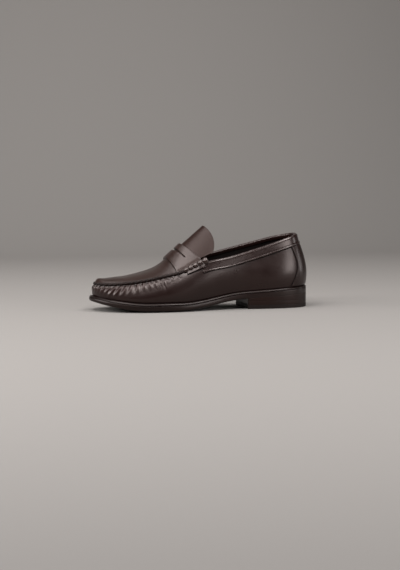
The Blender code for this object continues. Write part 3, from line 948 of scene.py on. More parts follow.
# Gathers of the vamp under the apron's seam, from the middle of the toe back along either side
GATHERS = (
    # back along the seam, slant to the toe for each millimetre down, length down the wall, height
    (0.0, 0.00, 10.0, 0.80),
    (5.8, 0.08, 12.0, 1.35),
    (12.6, 0.18, 13.0, 1.55),
    (19.4, 0.28, 13.5, 1.55),
    (26.4, 0.34, 15.0, 1.65),
    (33.8, 0.40, 16.0, 1.65),
    (41.2, 0.42, 20.0, 1.65),
    (48.2, 0.34, 20.0, 1.60),
    (55.2, 0.18, 19.0, 1.55),
    (62.0, 0.10, 19.0, 1.45),
    (69.8, -0.08, 18.0, 1.20),
    (76.6, -0.20, 16.0, 1.00),
    (83.8, -0.28, 16.0, 0.80),
    (91.0, -0.34, 15.0, 0.65),
    (98.2, -0.38, 13.0, 0.55),
    (105.6, -0.40, 12.0, 0.45),
    (113.0, -0.42, 9.0, 0.40),
    (120.4, -0.44, 8.0, 0.30),
    (127.8, -0.44, 7.0, 0.20),
)

# Sharper creases that walking has left in the vamp: a trough with a ridge close behind it
CREASES = (
    # back from the toe along the seam, slant to the toe, length down the wall, width, depth
    (101.0, -0.34, 21.0, 1.2, 0.42),
    (93.0, -0.30, 15.0, 1.5, 0.16),
    (123.0, -0.50, 12.0, 1.0, 0.22),
    (66.5, -0.04, 17.0, 1.2, 0.25),
)


@dataclass
class Upper:
    """Vamp and quarters as one gathered wall, the apron, and the linings behind them."""

    last: Last
    leathers: Leathers
    leather: float = 1.3
    lining: float = 0.6
    throat: float = 0.50
    fine_from: float = 0.60
    fine_share: float = 0.68
    wall_steps: tuple[int, int] = (50, 600)
    apron_steps: tuple[int, int] = (56, 170)
    lining_steps: tuple[int, int] = (18, 160)
    lining_gap: float = 0.05
    lining_foot: float = 0.02
    lining_height: float = 0.96
    lining_toe: float = 0.97
    lining_half: float = 0.94
    seam_steps: int = 400
    gather_width: float = 1.75
    gather_spread: float = 0.06
    gather_ease: float = 0.010
    gather_at_seam: float = 0.5
    gather_full: float = 0.3
    tuck: float = 5.5
    pillow: float = 0.9
    pillow_down: tuple[float, float] = (5.5, 22.0)
    pillow_end: tuple[float, float] = (75.0, 135.0)
    crease_down: tuple[float, float] = (0.2, 0.4)
    crease_ridge: float = 0.8
    crease_ridge_off: float = 1.2
    stitch_pitch: float = 7.2
    first_stitch: float = 2.3
    last_stitch: float = 0.580
    pit_depth: float = 2.0
    pit_fade: float = 60.0
    pit_width: float = 1.4
    pit_down: float = 3.3
    seam_lift: float = 0.2
    seam_lift_width: float = 3.0
    apron_rounding: float = 0.3
    eased_toe: float = 30.0
    easing: float = 0.5
    easing_passes: int = 60

    def __post_init__(self) -> None:
        """Measure how far along the seam each place round the shoe is."""
        self.seam_around = np.linspace(0.0, 1.0, self.seam_steps)
        chords = np.linalg.norm(np.diff(self.last.top_edge(self.seam_around), axis=0), axis=-1)
        self.seam_run = np.concatenate([[0.0], np.cumsum(chords)])

    def run(self, around: Array) -> Array:
        """Length along the top edge from the heel, the same on both sides."""
        forward = 1 - np.abs(1 - np.mod(around, 2.0))
        return np.interp(forward, self.seam_around, self.seam_run)

    def gathers(self, around: Array, rise: Array) -> Array:
        """How far the vamp stands out in its gathers.

        Args:
            around: places round the shoe.
            rise: 0 at the sole to 1 at the seam.

        Returns:
            Distances in millimetres.
        """
        down = (1 - rise) * self.last.rib_length(around)
        back = self.seam_run[-1] - self.run(around)
        width = self.gather_width + self.gather_spread * down + self.gather_ease * back
        total = np.zeros_like(down)
        tucked = smooth_step(0.0, self.tuck, down)
        rising = self.gather_at_seam + (1 - self.gather_at_seam) * tucked
        for centre, slant, length, height in GATHERS:
            reach = np.exp(-(((back - centre + slant * down) / width) ** 2))
            total += height * reach * rising * (1 - smooth_step(self.gather_full * length, length, down))
        fullness = self.pillow * (1 - smooth_step(*self.pillow_end, back))
        total += fullness * tucked * (1 - smooth_step(*self.pillow_down, down))
        start, full = self.crease_down
        for centre, slant, length, crease, depth in CREASES:
            off = (back - centre + slant * down) / crease
            reach = smooth_step(0.0, start * length, down) * (1 - smooth_step(full * length, length, down))
            ridge = self.crease_ridge * np.exp(-((off - self.crease_ridge_off) ** 2))
            total += depth * reach * (ridge - np.exp(-(off**2)))
        for stitch in self.stitches():
            off = ((back - stitch) ** 2 + (down - self.pit_down) ** 2) / self.pit_width**2
            total -= self.pit_depth * math.exp(-stitch / self.pit_fade) * np.exp(-off)
        return total

    def stitches(self) -> Array:
        """Distances back from the toe, along the seam, of the stitches on one side."""
        end = self.seam_run[-1] - float(self.run(np.array(self.last_stitch)))
        return np.arange(self.first_stitch, end, self.stitch_pitch)

    def vamp_point(self, around: Array, rise: Array) -> Array:
        """The gathered outer face of the wall."""
        return self.last.raised(self.last.wall, around, rise, self.gathers(around, rise))

    def apron_point(self, around: Array, across: Array) -> Array:
        """The apron, turned up towards its seam.

        Args:
            around: places from the throat to the toe.
            across: -1 on the outer side to 1 on the inner.

        Returns:
            Points in millimetres.
        """
        from_seam = (1 - np.abs(across)) * self.last.seam_half_width(around)
        lift = self.seam_lift * np.exp(-((from_seam / self.seam_lift_width) ** 2))
        return self.last.raised(self.last.apron, around, across, lift)

    def wall_around(self, v: Array) -> Array:
        """Places round the shoe, close together where the vamp is gathered."""
        coarse = (1 - self.fine_share) / 2
        return np.interp(v, [0, coarse, 1 - coarse, 1], [0, self.fine_from, 2 - self.fine_from, 2])

    def build(self) -> None:
        """Make the vamp, the apron and their linings."""
        maker = new_sheet(
            *self.wall_steps,
            lambda u, v: self.vamp_point(self.wall_around(v), u),
            # Crests of the gathers that stand out past the pillow: burnished, and lit with a painted
            # highlight
            lambda u, v: np.clip(self.gathers(self.wall_around(v), u) - self.pillow, 0.0, 1.0),
        )
        calf, edging = self.leathers.calf, Edging(self.leather)
        add_piece("vamp_and_quarters", maker, calf, ("upper",), edging)
        toe = 1 - SLOPE_STEP * 2
        maker = new_sheet(
            *self.apron_steps,
            lambda u, v: self.apron_point(self.throat + (toe - self.throat) * v, 2 * u - 1),
        )
        self.ease_toe(maker)
        edging = Edging(self.leather, self.apron_rounding)
        add_piece("apron", maker, self.leathers.apron, (), edging)
        self.build_linings()

    def ease_toe(self, maker: bmesh.types.BMesh) -> None:
        """Smooth the apron's tip, where its ridge turns down to the seam.

        Args:
            maker: the apron's mesh.
        """
        tip = min(vertex.co.x for vertex in maker.verts) + self.eased_toe * MM
        eased = [vertex for vertex in maker.verts if vertex.co.x < tip and not vertex.is_boundary]
        axes = {"use_axis_x": True, "use_axis_y": True, "use_axis_z": True}
        for _ in range(self.easing_passes):
            bmesh.ops.smooth_vert(maker, verts=eased, factor=self.easing, **axes)

    def build_linings(self) -> None:
        """Make the linings of wall and apron, inside the leather."""
        last, inside = self.last, -(self.leather + self.lining_gap)

        def wall(u: Array, v: Array) -> Array:
            """A point of the wall's lining."""
            return last.raised(last.wall, 2 * v, self.lining_foot + self.lining_height * u, inside)

        def apron(u: Array, v: Array) -> Array:
            """A point of the apron's lining."""
            around = self.throat + (self.lining_toe - self.throat) * v
            return last.raised(last.apron, around, (2 * u - 1) * self.lining_half, inside)

        for name, place in (("quarter_lining", wall), ("apron_lining", apron)):
            maker = new_sheet(*self.lining_steps, place)
            add_piece(name, maker, self.leathers.lining, (), Edging(self.lining))


# Whipped lumps of the rolls that hold the strap's ends, from the knot at the throat to the front
ROLL_LUMPS = (
    # around, radius, lift above the seam
    (0.4935, 5.0, 1.9),
    (0.5135, 4.1, 2.0),
    (0.5340, 3.8, 1.9),
    (0.5540, 3.6, 1.8),
    (0.5735, 3.2, 1.6),
)


@dataclass
class Seam:
    """The raised moccasin seam: vamp and apron edges whipped together into a rope of small lumps."""

    last: Last
    upper: Upper
    leathers: Leathers
    radius: float = 2.5
    lift: float = 0.6
    pinch: float = 0.42
    pinch_width: float = 0.20
    twist: float = 1.5
    steps_per_stitch: int = 14
    sides: int = 18
    end_taper: float = 60.0
    thread: float = 0.7
    thread_sides: int = 7
    stitch_span: tuple[float, float] = (-118.0, 100.0)
    stitch_steps: int = 13
    stitch_bed: float = 0.12
    stitch_fullness: float = 2.2
    toe_share: float = 0.40
    toe_run: float = 20.0
    front: float = 0.572
    lump_spacing: float = 0.020
    lump_pinch: float = 0.40
    lump_power: int = 4
    lump_steps: int = 28
    roll_sides: int = 24

    def rope_point(self, around: Array, angle: Array, radius: Array, lift: Array) -> Array:
        """A point of the rope's skin.

        Args:
            around: places along the seam.
            angle: the way round the rope, 0 outwards and positive towards the apron.
            radius: the rope's radius.
            lift: how far its middle stands above the seam.

        Returns:
            Points in millimetres.
        """
        seam, out, over = self.last.seam_frame(around)
        ray = out * np.cos(angle)[..., None] + over * np.sin(angle)[..., None]
        return seam + out * np.asarray(lift)[..., None] + ray * np.asarray(radius)[..., None]

    def pinched(self, around: Array, angle: Array) -> Array:
        """Draw the rope in under its stitches, with its twist.

        Args:
            around: places along the seam.
            angle: the way round the rope.

        Returns:
            Shares of the full radius.
        """
        back = self.upper.seam_run[-1] - self.upper.run(around) - self.twist * np.sin(angle)
        phase = np.mod((back - self.upper.first_stitch) / self.upper.stitch_pitch + 0.5, 1.0) - 0.5
        return self.full(around) * (1 - self.pinch * np.exp(-((phase / self.pinch_width) ** 2)))

    def full(self, around: Array) -> Array:
        """Share of the rope's radius that is left towards the toe, where the seam lies flatter."""
        back = self.upper.seam_run[-1] - self.upper.run(around)
        return self.toe_share + (1 - self.toe_share) * smooth_step(0.0, self.toe_run, back)

    def build(self) -> None:
        """Make the rope along the seam and the rolls at the strap's ends, with their stitches."""
        length = 2 * float(self.upper.run(np.array(1.0)) - self.upper.run(np.array(self.front)))
        rows = int(length / self.upper.stitch_pitch * self.steps_per_stitch)

        def rope(u: Array, v: Array) -> Array:
            """The rope's skin, drawn in at its ends.

            Args:
                u: 0 to 1 round the rope.
                v: 0 to 1 along it, over the toe.

            Returns:
                Points in millimetres.
            """
            around = self.front + (2 - 2 * self.front) * v
            angle = -2 * math.pi * u
            taper = np.sqrt(np.clip(np.minimum(v, 1 - v) * self.end_taper, 0.0, 1.0))
            radius = self.radius * self.pinched(around, angle) * taper
            return self.rope_point(around, angle, radius, np.full_like(u, self.lift))

        add_piece("apron_seam", new_sheet(self.sides, rows, rope), self.leathers.seam)
        runs = self.upper.seam_run[-1] - self.upper.stitches()
        places = np.interp(runs, self.upper.seam_run, self.upper.seam_around)
        maker = bmesh.new()
        for around in np.concatenate([places, 2 - places]):
            radius = self.radius * (1 - self.pinch) * float(self.full(np.array(around)))
            self.lay_stitch(maker, float(around), radius, self.lift)
        add_piece("apron_seam_stitches", maker, self.leathers.thread)
        for side in Side:
            self.build_roll(side)

    def lay_stitch(self, maker: bmesh.types.BMesh, around: float, radius: float, lift: float) -> None:
        """Lay one stitch over the rope, from the wall to the apron.

        Args:
            maker: the mesh of all the stitches.
            around: the stitch's place.
            radius: radius of the rope under it.
            lift: how far the rope's middle stands above the seam.
        """
        angle = np.radians(np.linspace(*self.stitch_span, self.stitch_steps))
        slope = self.twist / self.upper.seam_run[-1] * np.sin(angle)
        sign = -1.0 if around <= 1 else 1.0
        at = around + sign * slope
        level = np.full_like(angle, lift)
        points = self.rope_point(at, angle, np.full_like(angle, radius + self.stitch_bed), level)
        middle = self.rope_point(at, angle, np.zeros_like(angle), level)
        bow = np.sin(np.linspace(0, math.pi, len(angle)))
        thick = self.thread * np.sqrt(np.clip(bow * self.stitch_fullness, 0, 1))
        lay_tube(maker, points, points - middle, thick, self.thread_sides)

    def build_roll(self, side: Side) -> None:
        """Make one roll of whipped lumps at an end of the strap.

        Args:
            side: the side of the foot.
        """
        lumps = np.array(ROLL_LUMPS)
        size = Smooth(lumps[:, 0], lumps[:, 1:])
        start, end = lumps[0, 0] - self.lump_spacing / 2, lumps[-1, 0] + self.lump_spacing / 2

        def roll(u: Array, v: Array) -> Array:
            """The roll's skin: round lumps, pinched between each other and closed at the ends.

            Args:
                u: 0 to 1 round the roll.
                v: 0 to 1 along it, from the throat.

            Returns:
                Points in millimetres.
            """
            share = start + (end - start) * v
            radius, lift = np.moveaxis(size(share), -1, 0)
            off = 2 * np.mod((share - start) / self.lump_spacing, 1.0) - 1
            at_end = np.minimum(share - start, end - share) < self.lump_spacing / 2
            outward = np.where(at_end & ((off < 0) == (share < (start + end) / 2)), 0.0, self.lump_pinch)
            bulge = np.sqrt(np.clip(1 - off**self.lump_power, 0.0, 1.0))
            radius = radius * (outward + (1 - outward) * bulge)
            return self.rope_point(side.around(share), -2 * math.pi * u * side.sign, radius, lift)

        maker = new_sheet(self.roll_sides, self.lump_steps * len(lumps), roll)
        name, node = f"saddle_roll_lumps_{side.value}", f"saddle_roll_{side.value}"
        add_piece(name, maker, self.leathers.rolled, (node,))
        maker = bmesh.new()
        for share in (lumps[1:, 0] + lumps[:-1, 0]) / 2:
            radius, lift = size(np.array(share))
            self.lay_stitch(maker, side.around(share), self.lump_pinch * radius, lift)
        add_piece(f"saddle_roll_stitches_{side.value}", maker, self.leathers.thread)


def delete_faces_by_uv(maker: bmesh.types.BMesh, wanted: Callable[[float, float], bool]) -> None:
    """Delete faces by the place of their middle on the UV map.

    Args:
        maker: the mesh that loses them.
        wanted: tells whether a face with its middle at u and v goes.
    """
    layer = maker.loops.layers.uv.active
    found = []
    for face in maker.faces:
        u, v = np.mean([loop[layer].uv for loop in face.loops], axis=0)
        if wanted(u, v):
            found.append(face)
    bmesh.ops.delete(maker, geom=found, context="FACES")


@dataclass
class Saddle:
    """The strap over the apron with its slot, and the tabs that its ends make on the wall."""

    last: Last
    leathers: Leathers
    thickness: float = 2.2
    gap: float = 0.45
    front_middle: float = 0.585
    front_seam: float = 0.610
    back_middle: float = 0.4575
    back_seam: float = 0.500
    slot_half_width: float = 1.9
    slot_end: float = 0.6
    slot_power: float = 1.5
    slot_reach: float = 0.68
    slot_share: float = 0.40
    steps: tuple[int, int] = (96, 13)
    rounding: float = 0.5
    reach: float = 0.985
    end_sink: float = 1.3
    end_sink_run: float = 0.07
    tab_back: float = 0.497
    tab_front: float = 0.571
    tab_widths: tuple[float, float] = (6.2, 4.9)
    tab_thickness: float = 1.5
    tab_rounding: float = 0.4
    tab_steps: tuple[int, int] = (8, 24)
    tab_lift: float = 1.8
    over_binding: float = 1.3
    binding_end: tuple[float, float] = (0.508, 0.525)
    edge_below: float = -0.1
    edge_lift: float = 0.6
    edge_radius: float = 0.6
    edge_points: int = 40

    def strap_point(self, u: Array, v: Array) -> Array:
        """A point of the strap's top face.

        Args:
            u: across the foot.
            v: from the back edge to the front one; the middle row of faces lies over the slot.

        Returns:
            Points in millimetres.
        """
        across = 2 * u - 1
        bend = across**2
        front = self.front_middle + (self.front_seam - self.front_middle) * bend
        back = self.back_middle + (self.back_seam - self.back_middle) * bend
        length = np.linalg.norm(self.last.apron(front, 0 * u) - self.last.apron(back, 0 * u), axis=-1)
        narrowed = np.abs(across / self.slot_reach) ** self.slot_power
        opened = np.maximum(self.slot_half_width * (1 - narrowed), self.slot_end)
        lens = np.where(narrowed < 1, opened, 0.0) / length
        rows = self.steps[1]
        row = np.rint(v * rows)
        half = (rows - 1) / 2
        behind = row / half * (self.slot_share - lens)
        ahead = self.slot_share + lens + (row - half - 1) / half * (1 - self.slot_share - lens)
        share = np.where(row <= half, behind, ahead)
        end = 1 - np.abs(across)
        lift = self.gap + self.thickness - self.end_sink * np.exp(-((end / self.end_sink_run) ** 2))
        return self.last.raised(self.last.apron, back + (front - back) * share, across * self.reach, lift)

    def build(self) -> None:
        """Make the strap, with its slot left open, and the two tabs."""
        maker = new_sheet(*self.steps, self.strap_point)
        quarter_row = 0.25 / self.steps[1]
        delete_faces_by_uv(maker, lambda u, v: abs(v - 0.5) < quarter_row)
        edging = Edging(self.thickness, self.rounding)
        add_piece("strap", maker, self.leathers.apron, ("saddle_strap",), edging)
        for side in Side:
            self.build_tab(side)

    def build_tab(self, side: Side) -> None:
        """Make one tab and the dark tube under it: its inked cut edge and a painted shadow.

        Args:
            side: the side of the foot.
        """
        maker = new_sheet(*self.tab_steps, lambda u, v: self.tab_point(u, v, side))
        edging = Edging(self.tab_thickness, self.tab_rounding)
        add_piece(f"strap_tab_{side.value}", maker, self.leathers.calf, (), edging)
        # Dark tube under the tab's lower edge: inked cut edge and painted shadow
        maker = bmesh.new()
        v = np.linspace(0.0, 1.0, self.edge_points)
        around, rise = self.tab_chart(np.full_like(v, self.edge_below), v, side)
        lift = self.last.normal(self.last.wall, around, rise)
        path = self.last.raised(self.last.wall, around, rise, self.edge_lift)
        lay_ink_shadow_edge(maker, path, lift, self.edge_radius)
        add_piece(f"strap_tab_ink_shadow_edge_{side.value}", maker, self.leathers.ink_shadow_edge)

    def tab_chart(self, u: Array, v: Array, side: Side) -> tuple[Array, Array]:
        """Where on the wall a point of a tab lies.

        Args:
            u: 0 to 1 up the tab.
            v: 0 to 1 along it, from its back end.
            side: the side of the foot.

        Returns:
            Places round the shoe and up the wall.
        """
        around = side.around(self.tab_back + (self.tab_front - self.tab_back) * v)
        back_width, front_width = self.tab_widths
        width = back_width + (front_width - back_width) * v
        return around, 1 - width * (1 - u) / self.last.rib_length(around)

    def tab_point(self, u: Array, v: Array, side: Side) -> Array:
        """A point of a tab's outer face, on the wall under a roll and over the binding's end.

        Args:
            u: 0 to 1 up the tab.
            v: 0 to 1 along it, from its back end.
            side: the side of the foot.

        Returns:
            Points in millimetres.
        """
        around, rise = self.tab_chart(u, v, side)
        lift = self.tab_lift + self.over_binding * (1 - smooth_step(*self.binding_end, side.around(around)))
        return self.last.raised(self.last.wall, around, rise, lift)


@dataclass
class Tongue:
    """The raised tongue: goes on from the apron's back edge, up and back over the instep, lined behind."""

    last: Last
    leathers: Leathers
    throat: float = 0.50
    tip: tuple[float, float, float] = (147.5, 0.0, 111.0)
    corner: tuple[float, float, float] = (119.5, 31.0, 85.5)
    base_gap: float = 0.002
    base_half: float = 0.86
    drop: float = 0.6
    end_drop: float = 0.5
    end_power: float = 4.0
    leather: float = 1.3
    rounding: float = 0.45
    lining: float = 0.65
    lining_rounding: float = 0.2
    lining_gap: float = 0.05
    lining_width: float = 0.975
    lining_span: tuple[float, float] = (0.02, 0.98)
    slope_step: float = 1e-3
    steps: tuple[int, int] = (48, 40)

    def point(self, u: Array, v: Array) -> Array:
        """A point of the tongue's front face.

        Args:
            u: across, from the outer side.
            v: from the free end down to the base.

        Returns:
            Points in millimetres.
        """
        across = 2 * u - 1
        at = np.full_like(across, self.throat - self.base_gap)
        base = self.last.raised(self.last.apron, at, across * self.base_half, -self.drop)
        station, _, height = (t + (c - t) * across**2 for t, c in zip(self.tip, self.corner))
        end = self.last.placed(station, across * self.corner[1], height)
        up = (1 - v) * (1 - self.end_drop * np.abs(across) ** self.end_power)
        return base + (end - base) * up[..., None]

    def lining_point(self, u: Array, v: Array) -> Array:
        """A point of the lining's front face, against the back of the leather and short of its edges.

        Args:
            u: across, from the outer side.
            v: from the free end down to the base.

        Returns:
            Points in millimetres.
        """
        start, length = self.lining_span
        across, down, step = 0.5 + (u - 0.5) * self.lining_width, start + length * v, self.slope_step
        along_u = self.point(across + step, down) - self.point(across - step, down)
        along_v = self.point(across, down + step) - self.point(across, down - step)
        depth = self.leather + self.lining_gap
        return self.point(across, down) - unit(np.cross(along_u, along_v)) * depth

    def build(self) -> None:
        """Make the tongue and its lining."""
        calf, edging = self.leathers.tongue, Edging(self.leather, self.rounding)
        add_piece("tongue_leather", new_sheet(*self.steps, self.point), calf, ("tongue",), edging)
        lining, edging = self.leathers.lining, Edging(self.lining, self.lining_rounding)
        add_piece("tongue_lining", new_sheet(*self.steps, self.lining_point), lining, (), edging)


@dataclass(frozen=True)
class StitchRow:
    """A row of small stitches, each filling a share of the pitch and bowed up out of its two holes."""

    share: float
    pitch: float = 3.0
    radius: float = 0.22
    points: int = 5
    bow: float = 0.9
    sink: float = 0.5
    fullness: float = 1.6
    sides: int = 6

    def lay(self, maker: bmesh.types.BMesh, path: Array, lift: Array) -> None:
        """Lay the stitches along a path.

        Args:
            maker: the mesh that takes the stitches.
            path: points along the row.
            lift: the way out of the leather at each point.
        """
        run = np.concatenate([[0.0], np.cumsum(np.linalg.norm(np.diff(path, axis=0), axis=1))])
        bow = np.sin(np.linspace(0, math.pi, self.points))
        radius = self.radius * np.sqrt(np.clip(bow * self.fullness, 0, 1))
        for number in range(int(run[-1] / self.pitch)):
            span = np.linspace(number, number + self.share, self.points) * self.pitch
            points = np.stack([np.interp(span, run, path[:, axis]) for axis in range(3)], axis=-1)
            out = np.stack([np.interp(span, run, lift[:, axis]) for axis in range(3)], axis=-1)
            points = points + out * (self.radius * (self.bow * bow - self.sink))[:, None]
            lay_tube(maker, points, out, radius, self.sides)


# Section of the topline binding: up the outside, over the edge in a roll, and down the inside
BINDING_SECTION = (
    # out from the wall's outer face, up from the top edge
    (0.10, -12.6),
    (1.30, -12.6),
    (1.95, -12.4),
    (2.20, -11.9),
    (2.10, -11.5),
    (1.65, -11.1),
    (1.25, -10.7),
    (1.10, -10.1),
    (1.20, -8.8),
    (1.50, -6.0),
    (1.75, -3.6),
    (1.85, -3.0),
    (2.00, -2.7),
    (2.05, -2.3),
    (1.90, -1.85),
    (1.55, -1.25),
    (1.20, -0.70),
    (0.80, -0.10),
    (0.20, 0.35),
    (-0.55, 0.55),
    (-1.40, 0.55),
    (-2.20, 0.35),
    (-2.95, -0.2),
    (-3.35, -1.0),
    (-3.40, -2.0),
    (-3.30, -3.2),
    (-3.15, -4.6),
    (-2.80, -5.0),
    (-2.05, -5.0),
    (-2.05, 0.05),
    (0.10, 0.05),
    (0.10, -12.6),
)


@dataclass
class Collar:
    """The binding round the collar, with the stitches along its lower edge."""

    last: Last
    leathers: Leathers
    end: float = 0.508
    rows: int = 260
    stitches: StitchRow = StitchRow(0.72)
    stitch_up: float = 3.4
    stitch_out: float = 1.12
    path_end: float = 0.004
    path_points: int = 900
    edge_out: float = 0.45
    edge_radius: float = 0.65
    edge_sink: float = 0.7

    def section_point(self, around: Array, out: Array, up: Array) -> Array:
        """A point beside the collar's edge.

        Args:
            around: places round the shoe.
            out: distance out from the wall's outer face.
            up: distance up from the top edge, along the wall.

        Returns:
            Points in millimetres.
        """
        rise = 1 + np.minimum(up, 0.0) / self.last.rib_length(around)
        top = np.ones_like(around)
        upward = unit(self.last.wall(around, top) - self.last.wall(around, top - SLOPE_STEP))
        return self.last.raised(self.last.wall, around, rise, out) + upward * np.maximum(up, 0.0)[..., None]

    def build(self) -> None:
        """Make the binding and its stitches."""
        section = np.array(BINDING_SECTION)
        steps = len(section) - 1

        def place(u: Array, v: Array) -> Array:
            """The binding's skin."""
            out, up = section[np.rint(u * steps).astype(int)].T
            return self.section_point(self.end * (2 * v - 1), out, up)

        maker = new_sheet(steps, self.rows, place)
        bmesh.ops.remove_doubles(maker, verts=maker.verts, dist=MERGE_METRES)
        bmesh.ops.holes_fill(maker, edges=maker.edges, sides=0)
        add_piece("collar_binding", maker, self.leathers.binding, ("topline_binding",))
        around = np.linspace(self.path_end - self.end, self.end - self.path_end, self.path_points)
        up = np.full_like(around, self.stitch_up + section[0, 1])
        path = self.section_point(around, np.full_like(around, self.stitch_out), up)
        lift = self.last.normal(self.last.wall, around, 1 + up / self.last.rib_length(around))
        maker = bmesh.new()
        self.stitches.lay(maker, path, lift)
        add_piece("collar_binding_stitches", maker, self.leathers.thread)
        # Dark tube under the binding's lower edge: inked cut edge and painted shadow
        maker = bmesh.new()
        up = np.full_like(around, section[0, 1] - self.edge_radius * self.edge_sink)
        path = self.section_point(around, np.full_like(around, self.edge_out), up)
        lay_ink_shadow_edge(maker, path, lift, self.edge_radius)
        add_piece("collar_binding_ink_shadow_edge", maker, self.leathers.ink_shadow_edge)


# Half width of the strip up the back of the heel
HEEL_STRIP = (
    # share of the height, half width as a share round the upper
    (0.00, 0.136),
    (0.35, 0.108),
    (0.60, 0.102),
    (1.00, 0.115),
)


@dataclass
class HeelStrip:
    """The strip that covers the back seam, stitched down along both edges."""

    last: Last
    leathers: Leathers
    below_collar: float = 12.6
    foot: float = 0.02
    lift: float = 1.25
    thickness: float = 1.0
    rounding: float = 0.4
    steps: tuple[int, int] = (48, 72)
    stitches: StitchRow = StitchRow(0.7)
    stitch_inset: float = 0.012
    mean_half_width: float = 0.11
    path_span: tuple[float, float] = (0.01, 0.99)
    path_points: int = 200
    edge_spread: float = 1.014
    edge_lift: float = 0.35
    edge_radius: float = 0.65

    def point(self, spread: Array, up: Array) -> Array:
        """A point of the strip's outer face, by -1 to 1 across it and 0 to 1 up it."""
        around, rise = self.chart(spread, up)
        return self.last.raised(self.last.wall, around, rise, self.lift)

    def chart(self, spread: Array, up: Array) -> tuple[Array, Array]:
        """Where on the wall a point of the strip lies.

        Args:
            spread: -1 to 1 across the strip.
            up: 0 to 1 up it.

        Returns:
            Places round the shoe and up the wall.
        """
        around = spread * Smooth(*np.array(HEEL_STRIP).T)(up)[..., 0]
        top = 1 - self.below_collar / self.last.rib_length(around)
        return around, self.foot + (top - self.foot) * up

    def build(self) -> None:
        """Make the strip, its stitches, and the dark tubes beside it: inked cut edges and painted shadow
        lines.
        """
        maker = new_sheet(*self.steps, lambda u, v: self.point(2 * v - 1, u))
        calf, edging = self.leathers.calf, Edging(self.thickness, self.rounding)
        add_piece("heel_strip_leather", maker, calf, ("heel_strip",), edging)
        stitches, ink_shadow_edges = bmesh.new(), bmesh.new()
        up = np.linspace(*self.path_span, self.path_points)
        for edge in (-1.0, 1.0):
            spread = np.full_like(up, edge * (1 - self.stitch_inset / self.mean_half_width))
            lift = self.last.normal(self.last.wall, *self.chart(spread, up))
            self.stitches.lay(stitches, self.point(spread, up), lift)
            # Dark tube beside each edge of the strip: inked cut edge and painted shadow
            around, rise = self.chart(np.full_like(up, edge * self.edge_spread), up)
            path = self.last.raised(self.last.wall, around, rise, self.edge_lift)
            lift = self.last.normal(self.last.wall, around, rise)
            lay_ink_shadow_edge(ink_shadow_edges, path, lift, self.edge_radius)
        add_piece("heel_strip_stitches", stitches, self.leathers.thread)
        add_piece("heel_strip_ink_shadow_edge", ink_shadow_edges, self.leathers.ink_shadow_edge)


@dataclass(frozen=True)
class EdgeSection:
    """The trimmed edge of a flat piece: rounded at its lower and upper corner, a little full between them."""

    low_round: float
    high_round: float
    fullness: float = 0.2
    corner_steps: int = 4
    side_steps: int = 6
    core_shares: tuple[float, ...] = (1.0, 0.5, 0.35, 0.2, 0.08)

    def rows(self) -> Array:
        """Rows of the section, from the middle of the underside round the edge to the middle of the top.

        Returns:
            For each row: share of the way to the core, inset from the edge, share of the thickness, offset.
        """
        turn = np.linspace(0, math.pi / 2, self.corner_steps + 1)
        low_inset = self.low_round + self.fullness
        high_inset = self.high_round + self.fullness
        rows = [(share, low_inset, 0.0, 0.0) for share in self.core_shares]
        for t in turn:
            inset = low_inset - self.low_round * math.sin(t)
            rows.append((0.0, inset, 0.0, self.low_round * (1 - math.cos(t))))
        for share in np.linspace(0, 1, self.side_steps + 1)[1:-1]:
            offset = self.low_round * (1 - share) - self.high_round * share
            rows.append((0.0, self.fullness * (2 * share - 1) ** 2, share, offset))
        for t in turn[::-1]:
            inset = high_inset - self.high_round * math.sin(t)
            rows.append((0.0, inset, 1.0, self.high_round * (math.cos(t) - 1)))
        rows += [(share, high_inset, 1.0, 0.0) for share in self.core_shares[::-1]]
        return np.array(rows)


@dataclass
class FlatPiece:
    """A flat piece of the bottom: an edge curve, a core that its faces close to, and its heights by station.

    A corner function gives how much of the section's rounding is left, by station.
    """

    last: Last
    section: EdgeSection
    edge: Callable[[Array, Array], Array]
    core: Callable[[Array], Array]
    bottom: Callable[[Array], Array]
    top: Callable[[Array], Array]
    ring: bool = False
    crown: Callable[[Array], Array] | None = None
    crown_flat: float = 0.5
    corner: Callable[[Array], Array] | None = None
    columns: int = 320

    def make(self) -> bmesh.types.BMesh:
        """Lay the piece's closed skin.

        Returns:
            Its mesh.
        """
        rows = self.section.rows()
        if self.ring:
            rows = np.vstack([rows, rows[:1]])
        steps = len(rows) - 1

        def place(u: Array, v: Array) -> Array:
            """A point of the skin.

            Args:
                u: 0 to 1 along the section.
                v: 0 to 1 round the edge.

            Returns:
                Points in millimetres.
            """
            to_core, inset, share, offset = rows[np.rint(u * steps).astype(int)].T
            if self.corner:
                rounding = self.corner(self.edge(v, np.zeros_like(v))[:, 0])
                inset, offset = inset * rounding, offset * rounding
            plan = self.edge(v, inset) * (1 - to_core)[:, None] + self.core(v) * to_core[:, None]
            station = plan[:, 0]
            low = self.bottom(station)
            if self.crown:
                low = low - self.crown(station) * (1 - share) * np.clip(to_core / self.crown_flat, 0, 1)
            height = low + (self.top(station) - low) * share + offset
            return self.last.placed(station, plan[:, 1], height)

        return new_sheet(steps, self.columns, place)


